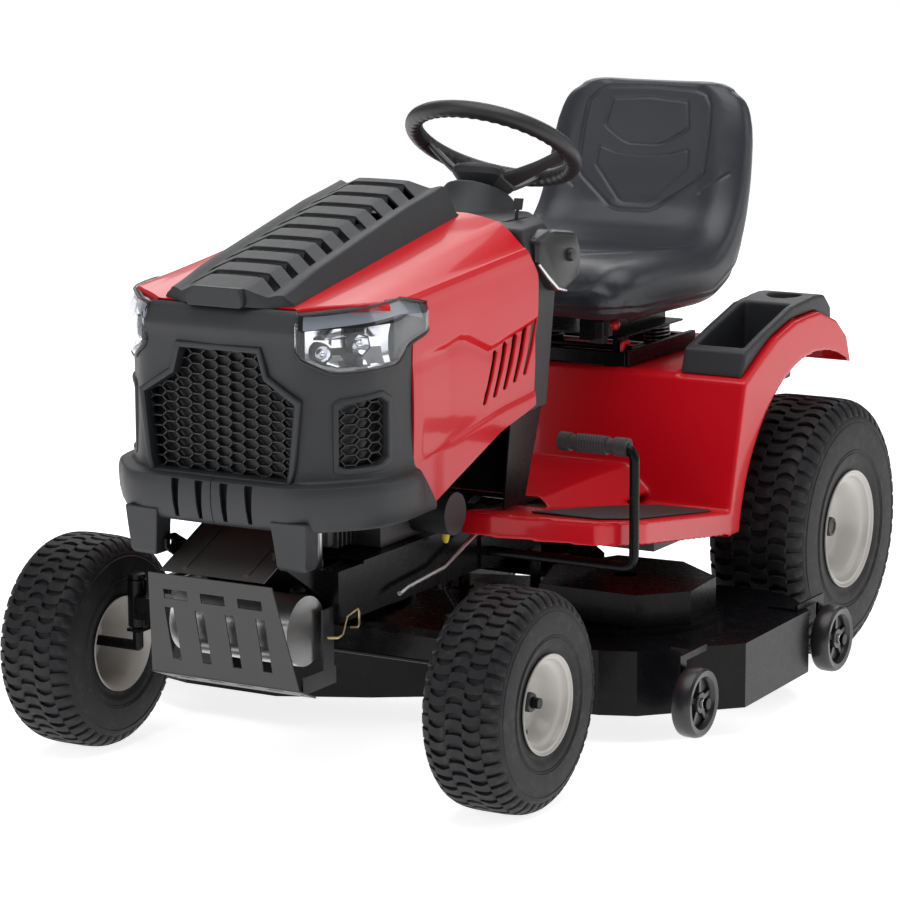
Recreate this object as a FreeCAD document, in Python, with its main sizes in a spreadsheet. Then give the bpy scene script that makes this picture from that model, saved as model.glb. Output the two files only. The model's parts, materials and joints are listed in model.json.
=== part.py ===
# Riding lawn mower, built as separate named sub-parts.
# Tractor frame: +Y rear, -Y front, +X driver's left, +Z up, ground at zero.
import FreeCAD, Part
import math
import os
import Sketcher

V = FreeCAD.Vector
doc = FreeCAD.newDocument("riding_mower")

# ---------------------------------------------------------------- driving sizes
SIZES = [
    ("centreline_x", 106.5), ("wheelbase", 1250), ("front_axle_y", -625), ("rear_axle_y", 625),
    ("front_tyre_r", 190.5), ("front_tyre_w", 152), ("front_track_x", 431), ("front_flange_r", 86),
    ("rear_tyre_r", 254), ("rear_tyre_w", 203), ("rear_track_x", 403), ("rear_flange_r", 116),
    ("rail_x", 140), ("rail_flange", 35), ("rail_z", 300), ("rail_height", 90), ("sheet_t", 3),
    ("rail_front_y", -690), ("rail_rear_y", 790), ("axle_pivot_z", 265), ("axle_pivot_r", 12),
    ("beam_w", 50), ("beam_hgt", 40), ("kingpin_x", 325), ("kingpin_r", 9.5), ("kingpin_tube_r", 17),
    ("kingpin_tube_z", 228), ("kingpin_tube_len", 84), ("fit_gap", 0.06), ("arm_y", 95), ("arm_x", 0),
    ("link_r", 6), ("sector_y", -198), ("sector_r", 94), ("pinion_r", 12.5), ("column_tilt", 30),
    ("column_y", 50), ("column_z", 967), ("column_r", 9.5), ("column_len", 628),
    ("wheel_ring_r", 151), ("wheel_tube_r", 15.5), ("wheel_dish", 81), ("hub_r", 32),
    ("crank_y", -405), ("crank_r", 12.5), ("engine_z", 397), ("block_r", 108), ("pulley_r", 60),
    ("muffler_r", 60), ("muffler_len", 236), ("muffler_y", -765), ("muffler_z", 300),
    ("guard_top_x", 123), ("guard_low_x", 148), ("guard_top_y", -878), ("guard_low_y", -835),
    ("guard_top_z", 398), ("guard_low_z", 215), ("nose_y", -842), ("nose_x", 150), ("cheek_y", -690),
    ("hood_x", 250), ("hood_rear_y", -237), ("hood_skin", 4), ("scoop_rear_y", -193),
    ("board_front_z", 424), ("board_rear_z", 351), ("board_x", 425), ("wall_y", 240), ("plateau_z", 590),
    ("plateau_rear_y", 770), ("fender_x", 425), ("fender_in_x", 276), ("fender_t", 4), ("arch_r", 345),
    ("seat_w", 470), ("seat_top_z", 1119), ("seat_hinge_y", 330), ("seat_hinge_z", 628),
    ("deck_low_z", 56), ("deck_top_z", 175), ("deck_t", 3), ("spindle_l_x", 282), ("spindle_l_y", 80),
    ("spindle_r_x", -294), ("spindle_r_y", -78), ("blade_len", 557), ("blade_w", 60), ("blade_z", 76),
    ("lift_y", 200), ("lift_z", 345), ("lift_arm", 90), ("gauge_r", 63.5), ("gauge_w", 38), ("gauge_z", 105),
    ("pedal_y", -180), ("pedal_x", 438), ("pedal_low_z", 326), ("pedal_top_z", 544), ("rod_r", 7.5),
    ("hitch_t", 5), ("hitch_hole_r", 9.6), ("hitch_y", 845), ("hood_pivot_y", -832), ("hood_pivot_z", 442),
]
sheet = doc.addObject("Spreadsheet::Sheet", "Sheet")
for row, (word, number) in enumerate(SIZES, start=1):
    sheet.set("A%d" % row, word)
    sheet.set("B%d" % row, str(number))
    sheet.setAlias("B%d" % row, word)
doc.recompute()


def val(word):
    return float(sheet.get(word))


FINISHED = []


def term(expression):
    """Sheet words in an expression get their sheet prefix."""
    text = str(expression)
    for word in sorted((w for w, n in SIZES), key=len, reverse=True):
        text = text.replace("<" + word + ">", "Sheet." + word)
    return text


def bind(obj, prop, expression):
    obj.setExpression(prop, term(expression))


def seat_at(obj, place):
    for letter, expression in zip("xyz", place):
        bind(obj, "Placement.Base." + letter, expression)


def box(name, size, place):
    obj = doc.addObject("Part::Box", name)
    for prop, expression in zip(("Length", "Width", "Height"), size):
        bind(obj, prop, expression)
    seat_at(obj, place)
    return obj


AXES = {"z": None, "x": (V(0, 1, 0), 90), "y": (V(1, 0, 0), -90)}


def rod(name, radius, length, place, axis="z"):
    obj = doc.addObject("Part::Cylinder", name)
    bind(obj, "Radius", radius)
    bind(obj, "Height", length)
    if AXES[axis]:
        obj.Placement = FreeCAD.Placement(V(0, 0, 0), FreeCAD.Rotation(*AXES[axis]))
    seat_at(obj, place)
    return obj


def ball(name, radius, place):
    obj = doc.addObject("Part::Sphere", name)
    bind(obj, "Radius", radius)
    seat_at(obj, place)
    return obj


def join(name, pieces):
    obj = doc.addObject("Part::MultiFuse", name)
    obj.Shapes = pieces
    obj.Refine = True
    return obj


def trim(name, base, tools):
    tool = tools[0] if len(tools) == 1 else join(name + "_tool", tools)
    obj = doc.addObject("Part::Cut", name)
    obj.Base = base
    obj.Tool = tool
    return obj


def group(name, pieces):
    obj = doc.addObject("Part::Compound", name)
    obj.Links = pieces
    return obj


def finish(label, obj):
    """Name the sub-part and move it from the centreline frame into the object frame."""
    if obj.TypeId in ("Part::Box", "Part::Cylinder", "Part::Sphere"):
        obj = group(label + "_whole", [obj])
    obj.Label = label
    bind(obj, "Placement.Base.x", "<centreline_x>")
    FINISHED.append(obj)
    return obj


def feature(label, shape):
    """A shape worked out in code from the sheet."""
    obj = doc.addObject("Part::Feature", label)
    if not shape.Placement.isIdentity():
        shape = Part.makeCompound([shape])
    obj.Shape = shape
    obj.Label = label
    bind(obj, "Placement.Base.x", "<centreline_x>")
    FINISHED.append(obj)
    return obj


# ------------------------------------------------------------- shape functions
def prism(points, axis, low, high):
    """Polygon swept straight along an axis; points are the other two coordinates."""
    place = {"x": lambda p: V(low, p[0], p[1]), "y": lambda p: V(p[0], low, p[1]),
             "z": lambda p: V(p[0], p[1], low)}[axis]
    ring = [place(p) for p in points]
    face = Part.Face(Part.makePolygon(ring + [ring[0]]))
    step = {"x": V(high - low, 0, 0), "y": V(0, high - low, 0), "z": V(0, 0, high - low)}[axis]
    return face.extrude(step)


def block(x0, x1, y0, y1, z0, z1):
    return Part.makeBox(x1 - x0, y1 - y0, z1 - z0, V(x0, y0, z0))


def tube(radius, start, end):
    way = V(*end) - V(*start)
    return Part.makeCylinder(radius, way.Length, V(*start), way)


def mirror(shape):
    return shape.mirror(V(0, 0, 0), V(1, 0, 0))


def both(shape):
    return shape.fuse(mirror(shape))


def half_ring(half):
    """Closed outline from its driver's-left half, front to rear."""
    return list(half) + [(-p[0], p[1]) for p in reversed(half)]


def loft_z(sections):
    """Ruled loft through plan outlines given as (z, half outline)."""
    wires = []
    for z, half in sections:
        ring = [V(p[0], p[1], z) for p in half_ring(half)]
        wires.append(Part.makePolygon(ring + [ring[0]]))
    return Part.makeLoft(wires, True, True)


def loft_y(sections):
    """Ruled loft through cross sections given as (y, half outline in x and z)."""
    wires = []
    for y, half in sections:
        ring = [V(p[0], y, p[1]) for p in half_ring(half)]
        wires.append(Part.makePolygon(ring + [ring[0]]))
    return Part.makeLoft(wires, True, True)


def turned(points, centre, way):
    """Solid of revolution about the x or z way; points are (radius, along)."""
    ring = [V(r, 0, a) for r, a in points]
    face = Part.Face(Part.makePolygon(ring + [ring[0]]))
    solid = face.revolve(V(0, 0, 0), V(0, 0, 1), 360)
    if way == "x":
        solid.rotate(V(0, 0, 0), V(0, 1, 0), 90)
    solid.translate(V(*centre))
    return solid


def fuse_all(shapes):
    whole = shapes[0].fuse(shapes[1:]) if len(shapes) > 1 else shapes[0]
    return whole.removeSplitter()


# ------------------------------------------------------------- chassis frame
def rail(side):
    tag = "left" if side > 0 else "right"
    inner = "<rail_x>-<rail_flange>" if side > 0 else "-<rail_x>"
    web = "<rail_x>-<sheet_t>" if side > 0 else "-<rail_x>"
    run = "<rail_rear_y>-<rail_front_y>"
    return [
        box("rail_web_" + tag, ("<sheet_t>", run, "<rail_height>"), (web, "<rail_front_y>", "<rail_z>")),
        box("rail_low_" + tag, ("<rail_flange>", run, "<sheet_t>"), (inner, "<rail_front_y>", "<rail_z>")),
        box("rail_up_" + tag, ("<rail_flange>", run, "<sheet_t>"),
            (inner, "<rail_front_y>", "<rail_z>+<rail_height>-<sheet_t>")),
    ]


cross_w = "2*<rail_x>"
frame_pieces = rail(1) + rail(-1) + [
    box("cross_front", (cross_w, 6, "<rail_height>"), ("-<rail_x>", "<rail_front_y>-6", "<rail_z>")),
    box("cross_mid", (cross_w, 5, "<rail_height>"), ("-<rail_x>", -95, "<rail_z>")),
    box("cross_rear", (cross_w, 5, "<rail_height>"), ("-<rail_x>", "<rail_rear_y>", "<rail_z>")),
    box("engine_pan", (288, 380, 6), (-144, -620, "<rail_z>+<rail_height>")),
    box("pivot_plate_front", (90, 8, 88), (-45, -672, 235)),
    box("pivot_plate_rear", (90, 8, 88), (-45, -594, 235)),
    box("pivot_top_front", (cross_w, 8, 8), ("-<rail_x>", -672, "<rail_z>")),
    box("pivot_top_rear", (cross_w, 8, 8), ("-<rail_x>", -594, "<rail_z>")),
    rod("pivot_pin", "<axle_pivot_r>", 100, (0, -680, "<axle_pivot_z>"), "y"),
    box("sector_bridge", (cross_w, 60, 5), ("-<rail_x>", "<sector_y>-30", "<rail_z>+<rail_height>")),
    box("brake_bracket_left", (6, 70, 60), ("<rail_x>-1", "<pedal_y>-35", "<pedal_low_z>-26")),
]
frame_holes = [
    rod("crank_hole", 40, 30, (0, "<crank_y>", 385)),
    rod("exhaust_hole", 19, 30, (60, -705, 340), "y"),
    rod("sector_hole", "10+<fit_gap>", 30, (0, "<sector_y>", 380)),
    rod("lift_hole", "9+<fit_gap>", 320, (-160, "<lift_y>", "<lift_z>"), "x"),
    rod("brake_hole", "<rod_r>+<fit_gap>", 40, (125, "<pedal_y>", "<pedal_low_z>"), "x"),
    rod("hood_pin_hole", "6+<fit_gap>", 300, (-150, "<hood_pivot_y>", "<hood_pivot_z>"), "x"),
]


def hood_arm():
    """Plate that reaches forward from the front cross member to one hood pivot."""
    y, z = val("hood_pivot_y"), val("hood_pivot_z")
    profile = [(-690, 388), (-690, 338), (y - 6, z - 14), (y - 14, z - 6), (y - 14, z + 8), (y - 4, z + 14),
               (y + 14, z + 14), (-696, 388)]
    return prism(profile, "x", 106, 111)


for arm_name, arm_shape in (("hood_arm_left", hood_arm()), ("hood_arm_right", mirror(hood_arm()))):
    arm_piece = doc.addObject("Part::Feature", arm_name)
    arm_piece.Shape = arm_shape
    frame_pieces.append(arm_piece)
finish("chassis_frame", trim("chassis_frame_cut", join("chassis_frame_all", frame_pieces), frame_holes))


# ------------------------------------------------------------- hitch plate
hitch = doc.addObject("PartDesign::Body", "hitch_plate_body")
flat = [f for f in hitch.Origin.OriginFeatures if f.Role == "XY_Plane"][0]
outline = hitch.newObject("Sketcher::SketchObject", "hitch_outline")
outline.AttachmentSupport = [(flat, "")]
outline.MapMode = "FlatFace"
corners = [("140", "796"), ("70", "<hitch_y>+35"), ("-70", "<hitch_y>+35"), ("-140", "796")]
for index in range(4):
    here = V(*[10.0 * (index + 1), 5.0 * (index + 2), 0])
    there = V(*[10.0 * ((index + 1) % 4 + 1), 5.0 * ((index + 1) % 4 + 2), 0])
    outline.addGeometry(Part.LineSegment(here, there), False)
for index in range(4):
    outline.addConstraint(Sketcher.Constraint("Coincident", index, 2, (index + 1) % 4, 1))
start_x = (140, 70, -70, -140)
start_y = (796, 880, 880, 796)
for index, (ex, ey) in enumerate(corners):
    nx = outline.addConstraint(Sketcher.Constraint("DistanceX", -1, 1, index, 1, start_x[index]))
    ny = outline.addConstraint(Sketcher.Constraint("DistanceY", -1, 1, index, 1, start_y[index]))
    outline.setExpression("Constraints[%d]" % nx, term(ex))
    outline.setExpression("Constraints[%d]" % ny, term(ey))
hole_ring = outline.addGeometry(Part.Circle(V(0, 845, 0), V(0, 0, 1), 9), False)
cx = outline.addConstraint(Sketcher.Constraint("PointOnObject", hole_ring, 3, -2))
cy = outline.addConstraint(Sketcher.Constraint("DistanceY", -1, 1, hole_ring, 3, 845))
cr = outline.addConstraint(Sketcher.Constraint("Radius", hole_ring, 9.6))
outline.setExpression("Constraints[%d]" % cy, term("<hitch_y>"))
outline.setExpression("Constraints[%d]" % cr, term("<hitch_hole_r>"))
doc.recompute()
plate = hitch.newObject("PartDesign::Pad", "hitch_pad")
plate.Profile = outline
plate.setExpression("Length", term("<hitch_t>"))
hitch.Tip = plate
doc.recompute()
hitch.Label = "hitch_plate"
bind(hitch, "Placement.Base.x", "<centreline_x>")
bind(hitch, "Placement.Base.z", "<rail_z>")
FINISHED.append(hitch)


# ------------------------------------------------------------- engine
crank_y = val("crank_y")
engine_z = val("engine_z")


def engine_block():
    case = tube(val("block_r"), (0, crank_y, engine_z), (0, crank_y, engine_z + 150))
    sump = block(-120, 120, crank_y - 120, crank_y + 100, engine_z, engine_z + 60)
    barrel = block(-62, 62, crank_y - 190, crank_y, engine_z + 20, engine_z + 140)
    pieces = [case, sump, barrel]
    for index in range(5):
        y = crank_y - 130 - 14 * index
        pieces.append(block(-76, 76, y - 4, y, engine_z + 8, engine_z + 152))
    pieces.append(block(-70, 70, crank_y - 212, crank_y - 190, engine_z + 14, engine_z + 146))
    return fuse_all(pieces)


feature("engine_block", engine_block())
shroud_lip = rod("shroud_drum", 126, 70, (0, "<crank_y>", "<engine_z>+151"))
shroud_cap = rod("shroud_screen", 96, 46, (0, "<crank_y>", "<engine_z>+221"))
shroud_nose = box("shroud_nose", (170, 120, 62), (-85, "<crank_y>-185", "<engine_z>+159"))
air_box = box("air_cleaner_box", (90, 150, 90), (100, "<crank_y>-60", "<engine_z>+171"))
finish("engine_shroud", join("engine_shroud_all", [shroud_lip, shroud_cap, shroud_nose, air_box]))
filter_can = rod("filter_can", 38, 74, (121, "<crank_y>+10", "<engine_z>+44"), "x")
finish("oil_filter", filter_can)
crank_shaft = rod("crank_shaft", "<crank_r>", 132, (0, "<crank_y>", "<engine_z>-134"))
pulley_low = rod("pulley_low", "<pulley_r>", 22, (0, "<crank_y>", "<engine_z>-134"))
pulley_up = rod("pulley_up", "<pulley_r>-14", 20, (0, "<crank_y>", "<engine_z>-112"))
finish("engine_pulley", join("engine_pulley_all", [crank_shaft, pulley_low, pulley_up]))

# ------------------------------------------------------------- exhaust
can = rod("muffler_can", "<muffler_r>", "<muffler_len>", ("-<muffler_len>/2", "<muffler_y>", "<muffler_z>"), "x")
pipe_a = rod("pipe_out", 12, 72, (60, -712, 340), "y")
pipe_b = rod("pipe_rise", 12, 120, (60, -640, 340))
pipe_c = rod("pipe_head", 12, 22, (60, -640, 460), "y")
bend_a = ball("pipe_bend_low", 12, (60, -640, 340))
bend_b = ball("pipe_bend_up", 12, (60, -640, 460))
finish("muffler", join("muffler_all", [can, pipe_a, pipe_b, pipe_c, bend_a, bend_b]))


def muffler_guard():
    top_x, low_x = val("guard_top_x"), val("guard_low_x")
    top_y, low_y = val("guard_top_y"), val("guard_low_y")
    top_z, low_z = val("guard_top_z"), val("guard_low_z")
    tall = math.hypot(top_y - low_y, top_z - low_z)
    face = prism([(-low_x, 0), (low_x, 0), (top_x, tall), (-top_x, tall)], "y", 0, 2.5)
    for index in range(4):
        x = -0.62 * low_x + index * 0.41 * low_x
        face = face.cut(block(x - 9, x + 9, -5, 8, 28, tall - 62))
    for index in range(3):
        x = -0.5 * low_x + index * 0.5 * low_x
        face = face.cut(block(x - 24, x + 24, -5, 8, tall - 46, tall - 28))
    face.rotate(V(0, 0, 0), V(1, 0, 0), math.degrees(math.atan2(low_y - top_y, top_z - low_z)))
    face.translate(V(0, low_y, low_z))
    apron = prism([(-low_x, 0), (low_x, 0), (low_x - 8, 70), (-low_x + 8, 70)], "y", 0, 2.5)
    for index in range(4):
        x = -0.6 * low_x + index * 0.4 * low_x
        apron = apron.cut(block(x - 16, x + 16, -5, 8, 14, 28))
    apron.rotate(V(0, 0, 0), V(1, 0, 0), -112)
    apron.translate(V(0, low_y, low_z + 1))
    floor_arm = block(low_x - 22, low_x - 18, low_y + 40, -690, 196, 226)
    rise_arm = block(low_x - 22, low_x - 18, -730, -696.1, 196, 330)
    arm = fuse_all([floor_arm, rise_arm])
    return fuse_all([face, apron, arm, mirror(arm)])


feature("muffler_guard", muffler_guard())


def heat_shield():
    plate_shape = block(-104, 104, 0, 150, 0, 1.5)
    ribs = [block(x - 5, x + 5, 12, 138, 1.2, 4) for x in (-62, 62)]
    shield = fuse_all([plate_shape] + ribs)
    shield.rotate(V(0, 0, 0), V(1, 0, 0), 24)
    shield.translate(V(0, val("guard_top_y") + 8, val("guard_top_z") + 3))
    return shield


feature("muffler_heat_shield", heat_shield())

# ------------------------------------------------------------- rear drive
case_main = box("gear_case", (230, 170, 116), (-115, "<rear_axle_y>-85", 182))
tube_left = rod("axle_tube", 32, 560, (-280, "<rear_axle_y>", "<rear_tyre_r>"), "x")
input_post = rod("input_shaft", 10, 70, (0, "<rear_axle_y>-30", 290))
input_pulley = rod("input_pulley", 62, 16, (0, "<rear_axle_y>-30", 344))
gear_all = join("transaxle_all", [case_main, tube_left, input_post, input_pulley])
gear_bore = rod("axle_bore", "12.5+<fit_gap>", 600, (-300, "<rear_axle_y>", "<rear_tyre_r>"), "x")
finish("transaxle", trim("transaxle_cut", gear_all, [gear_bore]))
tank = box("tank_box", (230, 150, 160), (-115, 600, 410))
neck = rod("tank_neck", 26, 26, (60, 680, 560))
finish("fuel_tank", join("fuel_tank_all", [tank, neck]))


# ------------------------------------------------------------- wheels
def tyre_shape(radius, width, bead, x, y):
    w = width / 2.0
    deep = radius - bead
    out = [(bead, w - 7), (bead + 0.12 * deep, w - 6), (bead + 0.25 * deep, w - 1.5), (bead + 0.5 * deep, w),
           (bead + 0.76 * deep, w - 3), (bead + 0.9 * deep, w - 12), (bead + 0.975 * deep, w - 26),
           (radius, w - 48)]
    inn = [(bead + 0.86 * deep, 0), (bead + 0.85 * deep, w - 44), (bead + 0.72 * deep, w - 18),
           (bead + 0.5 * deep, w - 11), (bead + 0.25 * deep, w - 13), (bead, w - 18)]
    right = out + [(radius, 0)]
    section = right + [(r, -a) for r, a in reversed(out)]
    section += [(r, -a) for r, a in reversed(inn[1:])] + inn
    return turned(section, (x, y, radius), "x")


def rim_shape(side, radius, width, bead, flange, x, y, hub_len, bore, spindle):
    w = width / 2.0
    seat_r = bead - 0.4
    out = [(flange, w - 1.5), (flange, w - 5), (seat_r, w - 5), (seat_r, w - 24), (seat_r - 13, w - 30)]
    inn = [(seat_r - 16, w - 29), (seat_r - 3, w - 22), (seat_r - 3, w - 1.5)]
    section = out + [(r, -a) for r, a in reversed(out)]
    section += [(r, -a) for r, a in reversed(inn)] + inn
    barrel = turned(section, (x, y, radius), "x")
    dish = turned([(seat_r - 14, side * 18), (seat_r - 14, side * 14), (seat_r * 0.62, side * 30),
                   (24, side * 26), (24, side * 30), (seat_r * 0.62, side * 34)], (x, y, radius), "x")
    inside = x - side * hub_len
    hub = tube(26, (inside, y, radius), (x + side * 40, y, radius))
    pieces = [barrel, dish, hub]
    whole = fuse_all(pieces)
    if spindle:
        return whole.cut(tube(bore, (x - side * 200, y, radius), (x + side * 60, y, radius)))
    shaft = tube(bore, (side * 118, y, radius), (x + side * 46, y, radius))
    return fuse_all([whole, shaft])


front_bead = 79.0
rear_bead = 105.0
for side, tag in ((1, "left"), (-1, "right")):
    x = side * val("front_track_x")
    y = val("front_axle_y")
    feature("front_tyre_" + tag, tyre_shape(val("front_tyre_r"), val("front_tyre_w"), front_bead, x, y))
    feature("front_rim_" + tag, rim_shape(side, val("front_tyre_r"), val("front_tyre_w"), front_bead,
                                          val("front_flange_r"), x, y, 46, val("kingpin_r") + 0.06, True))
    x = side * val("rear_track_x")
    y = val("rear_axle_y")
    feature("rear_tyre_" + tag, tyre_shape(val("rear_tyre_r"), val("rear_tyre_w"), rear_bead, x, y))
    feature("rear_rim_" + tag, rim_shape(side, val("rear_tyre_r"), val("rear_tyre_w"), rear_bead,
                                         val("rear_flange_r"), x, y, 60, 12.5, False))

# ------------------------------------------------------------- front axle and steering
beam_box = box("beam_box", ("2*<kingpin_x>-20", "<beam_w>", "<beam_hgt>"),
               ("-<kingpin_x>+10", "<front_axle_y>-<beam_w>/2", "<axle_pivot_z>-<beam_hgt>/2"))
beam_hub = rod("beam_hub", 22, 60, (0, "<front_axle_y>-33", "<axle_pivot_z>"), "y")
beam_tubes = [rod("king_tube_left", "<kingpin_tube_r>", "<kingpin_tube_len>",
                  ("<kingpin_x>", "<front_axle_y>", "<kingpin_tube_z>")),
              rod("king_tube_right", "<kingpin_tube_r>", "<kingpin_tube_len>",
                  ("-<kingpin_x>", "<front_axle_y>", "<kingpin_tube_z>"))]
beam_holes = [rod("king_bore_left", "<kingpin_r>+<fit_gap>", 200, ("<kingpin_x>", "<front_axle_y>", 200)),
              rod("king_bore_right", "<kingpin_r>+<fit_gap>", 200, ("-<kingpin_x>", "<front_axle_y>", 200)),
              rod("beam_pivot_bore", "<axle_pivot_r>+<fit_gap>", 120, (0, -690, "<axle_pivot_z>"), "y")]
finish("axle_beam", trim("axle_beam_cut", join("axle_beam_all", [beam_box, beam_hub] + beam_tubes), beam_holes))

for side, tag in ((1, "left"), (-1, "right")):
    sign = "" if side > 0 else "-"
    king = sign + "<kingpin_x>"
    arm_end = ("<kingpin_x>-<arm_x>") if side > 0 else "<arm_x>-<kingpin_x>"
    stub_x = "<kingpin_x>" if side > 0 else "-<front_track_x>-58"
    post = rod("king_post_" + tag, "<kingpin_r>", "322-<front_tyre_r>", (king, "<front_axle_y>", "<front_tyre_r>"))
    elbow = ball("king_elbow_" + tag, "<kingpin_r>", (king, "<front_axle_y>", "<front_tyre_r>"))
    stub = rod("stub_" + tag, "<kingpin_r>", "<front_track_x>+58-<kingpin_x>",
               (stub_x, "<front_axle_y>", "<front_tyre_r>"), "x")
    cap = rod("king_cap_" + tag, 15, 8, (king, "<front_axle_y>", 314))
    arm_x0 = "<kingpin_x>-<arm_x>-14" if side > 0 else "-<kingpin_x>-14"
    arm = box("steer_arm_" + tag, ("<arm_x>+28", "<arm_y>+28", 6), (arm_x0, "<front_axle_y>-14", 218))
    pin_low = rod("arm_pin_" + tag, 5, 46 if side > 0 else 26, (arm_end, "<front_axle_y>+<arm_y>", 198))
    finish("spindle_" + tag, join("spindle_" + tag + "_all", [post, elbow, stub, cap, arm, pin_low]))

tie_len = "2*(<kingpin_x>-<arm_x>)"
tie_y = "<front_axle_y>+<arm_y>"
tie_bar = rod("tie_bar", "<link_r>-1", tie_len, ("<arm_x>-<kingpin_x>", tie_y, 208), "x")
tie_eyes = [rod("tie_eye_left", 12, 12, ("<kingpin_x>-<arm_x>", tie_y, 202)),
            rod("tie_eye_right", 12, 12, ("<arm_x>-<kingpin_x>", tie_y, 202))]
tie_bores = [rod("tie_bore_left", 5.06, 30, ("<kingpin_x>-<arm_x>", tie_y, 195)),
             rod("tie_bore_right", 5.6, 30, ("<arm_x>-<kingpin_x>", tie_y, 195))]
finish("tie_rod", trim("tie_rod_cut", join("tie_rod_all", [tie_bar] + tie_eyes), tie_bores))


def drag_link():
    near = V(val("kingpin_x") - val("arm_x"), val("front_axle_y") + val("arm_y"), 233)
    far = V(-val("arm_x"), val("sector_y") + val("arm_y"), 233)
    bar = tube(val("link_r") - 1, near, far)
    eyes = [Part.makeCylinder(12, 12, p + V(0, 0, -6)) for p in (near, far)]
    far_eye = Part.makeCylinder(17, 12, far + V(0, 0, -6))
    link = fuse_all([bar, eyes[0], far_eye])
    link = link.cut(Part.makeCylinder(5.06, 30, near + V(0, 0, -15)))
    return link.cut(Part.makeCylinder(9.5, 30, far + V(0, 0, -15)))


feature("drag_link", drag_link())


def steering_sector():
    """Plate with an arc-shaped window whose outer edge the column pinion runs in."""
    y = val("sector_y")
    post = tube(10, (0, y, 240), (0, y, 440))
    reach = val("sector_r")
    disc = tube(reach, (0, y, 424), (0, y, 434))
    fan = prism([(0, y + 26), (-98, y - 20), (-98, y - 110), (98, y - 110), (98, y - 20)], "z", 420, 440)
    window = tube(reach - 14, (0, y, 420), (0, y, 440)).cut(tube(44, (0, y, 418), (0, y, 442)))
    window = window.common(prism([(0, y), (-84, y - 60), (-84, y - 100), (84, y - 100), (84, y - 60)],
                                 "z", 410, 450))
    gear = disc.common(fan).cut(window)
    hub = tube(24, (0, y, 397), (0, y, 434))
    end_x, end_y = -val("arm_x"), y + val("arm_y")
    arm = block(end_x - 13, 14, y - 14, end_y + 13, 246, 252)
    pin = tube(5, (end_x, end_y, 225), (end_x, end_y, 250))
    return fuse_all([post, gear, hub, arm, pin])


feature("steering_sector", steering_sector())


def on_column(shape):
    """Shape drawn upright about the hub centre, leaned back with the column."""
    shape.rotate(V(0, 0, 0), V(1, 0, 0), -val("column_tilt"))
    shape.translate(V(0, val("column_y"), val("column_z")))
    return shape


def steering_shaft():
    low = -val("column_len")
    shaft = tube(val("column_r"), (0, 0, low), (0, 0, -20))
    pinion = tube(val("pinion_r"), (0, 0, low), (0, 0, low + 14))
    return on_column(fuse_all([shaft, pinion]))


feature("steering_shaft", steering_shaft())


def steering_wheel():
    ring = Part.makeTorus(val("wheel_ring_r"), val("wheel_tube_r"), V(0, 0, val("wheel_dish")))
    hub = tube(val("hub_r"), (0, 0, -19), (0, 0, 26))
    pieces = [ring, hub]
    for angle in (8, 172, 90):
        spoke = prism([(20, -16), (48, -16), (val("wheel_ring_r") - 2, val("wheel_dish") - 8),
                       (val("wheel_ring_r") - 4, val("wheel_dish") + 6), (36, 20), (20, 20)], "y", -14, 14)
        spoke.rotate(V(0, 0, 0), V(0, 0, 1), angle)
        pieces.append(spoke)
    return on_column(fuse_all(pieces))


feature("steering_wheel", steering_wheel())


# ------------------------------------------------------------- hood group
hood_x = val("hood_x")
nose_y = val("nose_y")
nose_x = val("nose_x")
cheek_y = val("cheek_y")
skin = val("hood_skin")


def nose_outline(front, half, rear, inset=0.0):
    """Half plan outline of the nose: flat front, chamfered corner, straight side."""
    return [(half - 0.6 * inset, front + inset), (hood_x - inset, cheek_y + 0.6 * inset), (hood_x - inset, rear)]


def fascia_solid(inset):
    low = 480 if inset == 0 else 470
    return loft_z([(low, nose_outline(nose_y - 24, 118, -600, inset)),
                   (520, nose_outline(nose_y - 34, 122, -600, inset)),
                   (556, nose_outline(nose_y - 18, 132, -600, inset)),
                   (572, nose_outline(nose_y + 2, 150, -600, inset)),
                   (700, nose_outline(nose_y, 152, -600, inset)),
                   (836 - inset, nose_outline(nose_y + 12, 128, -600, inset))])


def front_fascia():
    shell = fascia_solid(0).cut(fascia_solid(5))
    rear_open = block(-300, 300, -612, -590, 400, 900)
    shell = shell.cut(rear_open)
    edge_cut = prism([(-632, 760), (-632, 570), (-575, 480), (-560, 470), (-560, 900), (-632, 900)],
                     "x", -300, 300)
    shell = shell.cut(edge_cut)
    lamp = prism([(-900, 746), (-760, 752), (-560, 768), (-560, 900), (-900, 900)], "x", 134, 300)
    shell = shell.cut(lamp).cut(mirror(lamp))
    grille = prism([(-124, 566), (124, 566), (134, 600), (140, 690), (80, 748), (66, 786), (-66, 786),
                    (-80, 748), (-140, 690), (-134, 600)], "y", -900, -800)
    shell = shell.cut(grille)
    slots = [block(x - 6, x + 6, -900, -830, 492, 560) for x in (-58, -20, 20, 58)]
    for slot in slots:
        shell = shell.cut(slot)
    side = prism([(-36, 588), (40, 596), (40, 690), (-36, 700)], "y", -30, 60)
    side.rotate(V(0, 0, 0), V(0, 0, 1), 57)
    side.translate(V(202, -766, 0))
    shell = shell.cut(side).cut(mirror(side))
    y, z = val("hood_pivot_y"), val("hood_pivot_z")
    leg = block(116, 150, y - 16, y + 20, z - 20, 500).cut(block(121, 145, y - 11, y + 25, z - 25, 494))
    bridge = block(100, 152, y - 40, y + 22, 481, 487)
    pin = tube(6, (104, y, z), (122, y, z))
    legs = both(fuse_all([leg, bridge, pin]))
    return fuse_all([shell, legs])


feature("front_fascia", front_fascia())


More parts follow.
